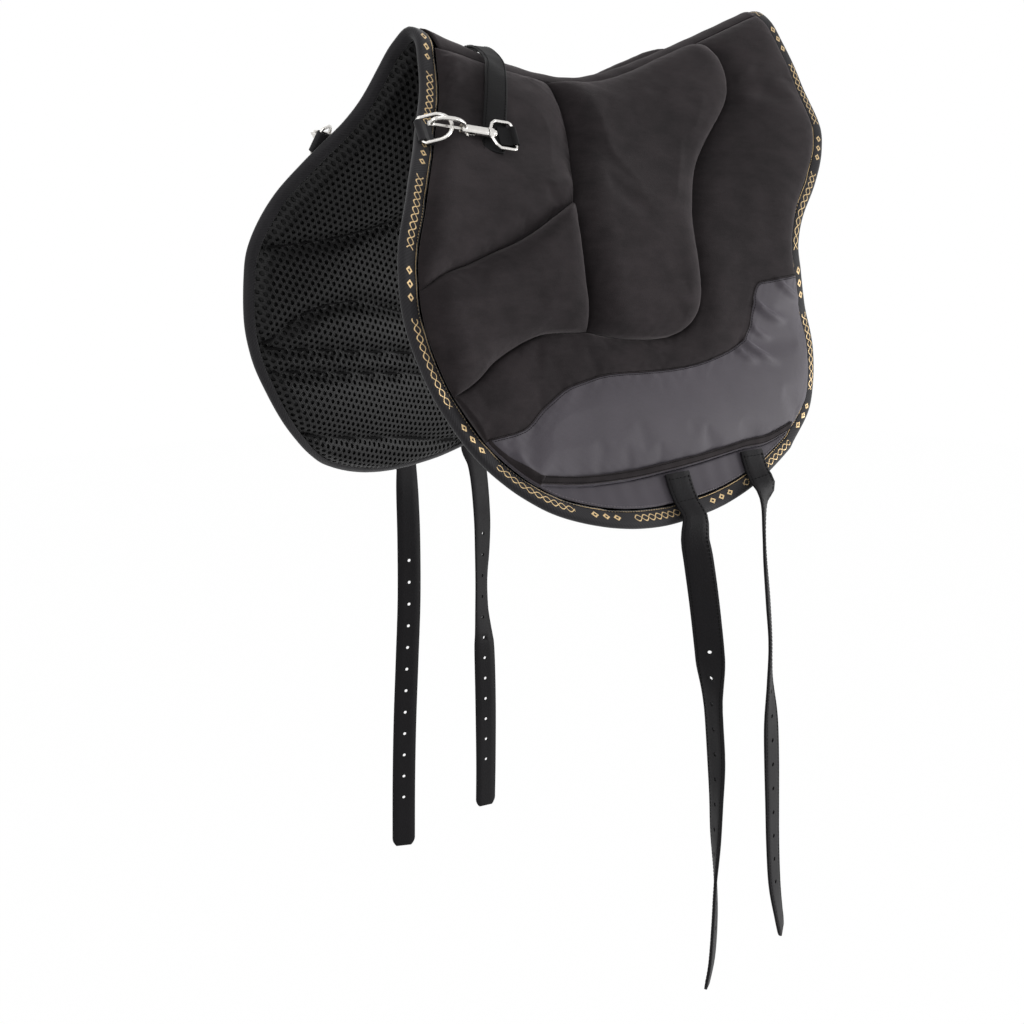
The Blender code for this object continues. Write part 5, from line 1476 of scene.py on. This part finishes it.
def billet(name, way, x):
    look = billetLook
    dense = billetFrames(name, way, x)
    run = runOf(dense[0])
    framesAt = lambda at: [valuesAt(at, run, part) for part in dense]
    length, half, tip = run[-1], look["cell"] / 2, look["tipRound"]
    holes = [length - look["tipToHole"] - n * look["pitch"] for n in range(look["holes"])]
    plain = [p for p in np.arange(0, length - tip, look["ring"])
             if all(abs(p - h) >= half + look["clear"] for h in holes)]
    cells = [h + s * half for h in holes for s in (-1, 1)]
    stations = np.array(sorted(plain + cells + [length - tip * s for s in look["tipShares"]]))
    centre, width, face = framesAt(stations)
    wide, thick, edge = look["width"] / 2, look["thick"] / 2, look["edge"]
    narrow = 1 - look["tipNarrow"] * (1 - np.clip((length - stations) / tip, 0, 1))**2
    ring = np.array([(-wide, -thick + edge), (-wide + edge, -thick), (-half, -thick),
                     (half, -thick), (wide - edge, -thick), (wide, -thick + edge)])
    ring = np.vstack([ring, -ring])
    around = len(ring)
    points, faces = swept(centre[:, None] + ring[:, :1] * (narrow[:, None] * width)[:, None]
                          + ring[:, 1:] * face[:, None])
    points = list(points)
    turns = 2 * math.pi * np.arange(look["holeSides"]) / look["holeSides"]
    for n, (start, end) in enumerate(zip(stations, stations[1:])):
        hole = [h for h in holes if start < h < end]
        if not hole:
            continue
        faces[n * around + 2] = faces[n * around + 8] = None
        here, beyond = n * around, (n + 1) * around
        faces += holeFaces(len(points), [
            (beyond + b, beyond + a, here + a, here + b) for a, b in ((2, 3), (9, 8))])
        middle, across, through = (part[0] for part in framesAt(hole))
        onward = np.cross(across, through)
        onward *= np.sign(onward @ (centre[n + 1] - centre[n]))
        bevel, flare = look["holeBevel"], look["holeFlare"]
        for high, size in ((-thick, flare), (bevel - thick, 1), (thick - bevel, 1), (thick, flare)):
            points += [middle + high * through + look["hole"] * size * (
                math.cos(t) * across + math.sin(t) * onward) for t in turns]
    piece = newPiece(name.replace("billet", "girth_billet"), points,
                     [f for f in faces if f], "billet")
    outwardFaces(piece).data.set_sharp_from_angle(angle=look["sharp"])
    body = name.replace("_billet", "_strap")
    dress(piece, body, "billet_leather", name)
    inset = wide - look["threadInset"]
    lift = np.sign(np.mean(face[:4] @ (0.0, way, 0.0))) * (thick + look["threadHigh"])
    after = stations > look["threadFrom"]
    long = after & (stations < length - look["threadTip"])
    rows = [centre[long] + s * inset * width[long] + lift * face[long] for s in (-1, 1)]
    ends = np.nonzero(after & (stations < look["threadBox"]))[0][[0, -1]]
    aside = np.linspace(-inset, inset, look["boxStitches"])[:, None]
    rows += [centre[n] + aside * width[n] + lift * face[n] for n in ends]
    stitchRow(f"{name}_stitches", rows, "billet", body)


for prefix, way in sides.items():
    for place in ("front", "rear"):
        billet(f"{prefix}_{place}_billet", way, billetLook[f"{place}X"])
print("billets")


# Grab strap
strapLook = {
    "height": 0.0345, "width": 0.0245, "thick": 0.0028, "twist": math.radians(9), "tail": 0.040,
    "steps": 6, "edge": 0.0009, "belly": 0.0001, "crown": 0.0002, "shoulder": 0.0003,
    "shoulderAt": 0.55, "threadInset": 0.0026, "threadHigh": 0.0003, "tailStart": 0.12,
    "tailSteps": 8,
}
# Half the strap's middle line: place on x, way round the flap, height over the pad
strapShares = (
    (-0.2192, 0.000, 0.465), (-0.2212, 0.016, 0.481), (-0.2260, 0.034, 0.538),
    (-0.2365, 0.056, 0.650), (-0.2538, 0.084, 0.812), (-0.2731, 0.120, 0.928),
    (-0.2913, 0.160, 1.000), (-0.3038, 0.192, 1.006), (-0.3148, 0.224, 0.977),
)


def strapHalf():
    look = strapLook
    sizes = (pad["length"], -pad["flapDepth"], look["height"])
    course = smoothThrough(np.array(strapShares) * sizes, look["steps"])
    centre = drape(*course.T)
    outward = drape(*(course + (0.0, 0.0, look["thick"])).T) - centre
    onward = unit(centre[-1] - centre[-1 - look["steps"] // 2])
    fromEnd = np.linspace(look["tailStart"], 1, look["tailSteps"])[:, None]
    tail = centre[-1] + onward * look["tail"] * fromEnd
    along = np.gradient(centre, axis=0)
    along[0], along[-1] = (0.0, -1.0, 0.0), onward
    along = unit(along)
    width = unit(np.cross(along, outward))
    width *= np.sign(width[:, :1])
    face = np.cross(along, width)
    face *= np.sign(np.sum(face * outward, axis=1))[:, None]
    turns = look["twist"] * eased(np.linspace(0.0, 1.0, len(centre)))[:, None]
    level, risen = np.cos(turns), np.sin(turns)
    turned = (width * level + face * risen, face * level - width * risen)
    return [np.vstack([centre, tail])] + [np.vstack([p] + [p[-1:]] * len(tail)) for p in turned]


def grabStrap():
    look = strapLook
    near = strapHalf()
    far = [part * (1, -1, 1) for part in near]
    centre, width, face = (np.vstack([n[:0:-1], f]) for n, f in zip(near, far))
    half, thick, edge = look["width"] / 2, look["thick"] / 2, look["edge"]
    shoulder, high = half * look["shoulderAt"], thick + look["shoulder"]
    ring = [(-half, -thick + edge), (-half + edge, -thick), (0, -thick - look["belly"]),
            (half - edge, -thick), (half, -thick + edge), (half, thick - edge),
            (half - edge, thick), (shoulder, high), (0, thick + look["crown"]),
            (-shoulder, high), (-half + edge, thick), (-half, thick - edge)]
    points, faces = swept(np.stack([centre + a * width + b * face for a, b in ring], axis=1))
    piece = outwardFaces(newPiece("grab_handle", points, faces, "strap"))
    rounder = piece.modifiers.new("round", "SUBSURF")
    rounder.levels = rounder.render_levels = 1
    dress(bakeModifiers(piece), "strap", "strap_leather", "grab_strap")
    rows = [centre + s * (half - look["threadInset"]) * width + (thick + look["threadHigh"]) * face
            for s in (-1, 1)]
    stitchRow("grab_handle_stitches", rows, "strap", "strap")


grabStrap()
print("grab strap")


# Metalwork, folds and tabs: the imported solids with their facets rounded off.
# Finish, body, voxel size and smoothing passes of each
castLook = {
    "ring": ("nickel", "{}_d_ring", 0.00045, 10), "snap_body": ("nickel", "{}_snap", 0.00034, 6),
    "snap_bolt": ("nickel", "{}_bolt", 0.00030, 4), "swivel_eye": ("nickel", "strap", 0.00036, 7),
    "strap_chape": ("strap", "strap", 0.00050, 5), "ring_tab": ("webbing", "pad", 0.00050, 4),
}
castSlots = {"nickel": "nickel", "strap": "strap_leather", "webbing": "webbing"}
castShape = {"weld": 0.000002, "soften": 0.5}


def rounded(node, finish, voxel, passes):
    mesh = frame["nodes"][node].data.copy()
    edited(mesh, lambda work: bmesh.ops.remove_doubles(
        work, verts=work.verts[:], dist=castShape["weld"]))
    piece = placed(f"{node}_finish", mesh)
    remesh = piece.modifiers.new("even", "REMESH")
    remesh.mode, remesh.voxel_size = "VOXEL", voxel
    soften = piece.modifiers.new("soften", "SMOOTH")
    soften.factor, soften.iterations = castShape["soften"], passes
    bakeModifiers(piece).data.shade_smooth()
    return painted(piece, finish)


def metalwork():
    for prefix in sides:
        for kind, (finish, body, voxel, passes) in castLook.items():
            node = f"{prefix}_{kind}"
            piece = rounded(node, finish, voxel, passes)
            dress(piece, body.format(prefix), castSlots[finish], node)
        painted(frame["nodes"][f"{prefix}_bolt_spring"], "steel")
    for web in ("front_girth_web", "rear_girth_web"):
        painted(frame["nodes"][web], "webbing")


metalwork()
print("metalwork")


# Floor, backdrop, light and camera
studio = {
    "floor": -1.42, "size": 14.0, "paper": {"roughness": 0.9, "specular": 0.1},
    "paperTone": (0.94, 0.94, 0.94), "paperShade": (0.92, 0.92, 0.92), "paperCloud": 3.0,
    "paperGlow": 0.995, "ambient": 0.28, "azimuth": -40.0, "elevation": 10.9,
    "focalPixels": 1400.0, "distance": 1.55, "target": (-0.065, 0.0, -0.456), "frame": 1024,
    "sensor": 36.0, "farthest": 60.0,
}
lamps = (
    ("key", (2.0, -1.7, -0.5), 1.2, 54.0), ("high", (-0.7, -2.0, 1.7), 1.6, 15.0),
    ("back", (0.4, 2.1, 1.7), 1.6, 14.0), ("front", (-2.2, -0.5, -0.1), 1.2, 10.0),
)


def seenDirectly(nodes):
    path = nodes.add("ShaderNodeLightPath").outputs
    return nodes.most(path["Is Camera Ray"],
                      nodes.most(path["Is Glossy Ray"], path["Is Transmission Ray"]))


def backdrop():
    half, z = studio["size"] / 2, studio["floor"]
    corners = [(-half, -half, z), (half, -half, z), (half, half, z), (-half, half, z)]
    floor = placed("floor", newMesh("floor", corners, [], [(0, 1, 2, 3)]))
    material, nodes = newMaterial("pale paper", studio["paper"])
    cloud = nodes.noise(nodes.place(), studio["paperCloud"])
    nodes.paint({"Base Color": nodes.blend(cloud, studio["paperTone"], studio["paperShade"])})
    made = nodes.tree.nodes
    both = nodes.add("ShaderNodeMixShader", {
        "Fac": nodes.times(seenDirectly(nodes), studio["paperGlow"]),
        1: made["Principled BSDF"].outputs[0], 2: nodes.add("ShaderNodeEmission").outputs[0]})
    nodes.put(made["Material Output"].inputs["Surface"], both.outputs[0])
    floor.data.materials.append(material)


def world():
    scene.world = bpy.data.worlds.new("studio")
    scene.world.use_nodes = True
    nodes = Nodes(scene.world.node_tree)
    level = nodes.add("ShaderNodeMapRange", {
        "Value": seenDirectly(nodes), "To Min": studio["ambient"], "To Max": 1.0})
    back = nodes.tree.nodes["Background"].inputs
    nodes.put(back["Strength"], level.outputs["Result"])
    nodes.put(back["Color"], (1, 1, 1, 1))


def aimed(name, data, place, direction):
    holder = placed(name, data)
    holder.location = place
    holder.rotation_euler = direction.to_track_quat("-Z", "Y").to_euler()
    return holder


def light():
    for name, place, size, power in lamps:
        lamp = bpy.data.lights.new(name, "AREA")
        lamp.size, lamp.energy = size, power
        aimed(name, lamp, place, Vector(studio["target"]) - Vector(place))


def camera():
    a, e = math.radians(studio["azimuth"]), math.radians(studio["elevation"])
    back = Vector((math.sin(a) * math.cos(e), -math.cos(a) * math.cos(e), math.sin(e)))
    eye = bpy.data.cameras.new("camera")
    eye.sensor_width = studio["sensor"]
    eye.lens = studio["focalPixels"] / studio["frame"] * studio["sensor"]
    eye.clip_end = studio["farthest"]
    scene.camera = aimed("camera", eye, Vector(studio["target"]) + back * studio["distance"], -back)


backdrop()
world()
light()
camera()
print("studio")
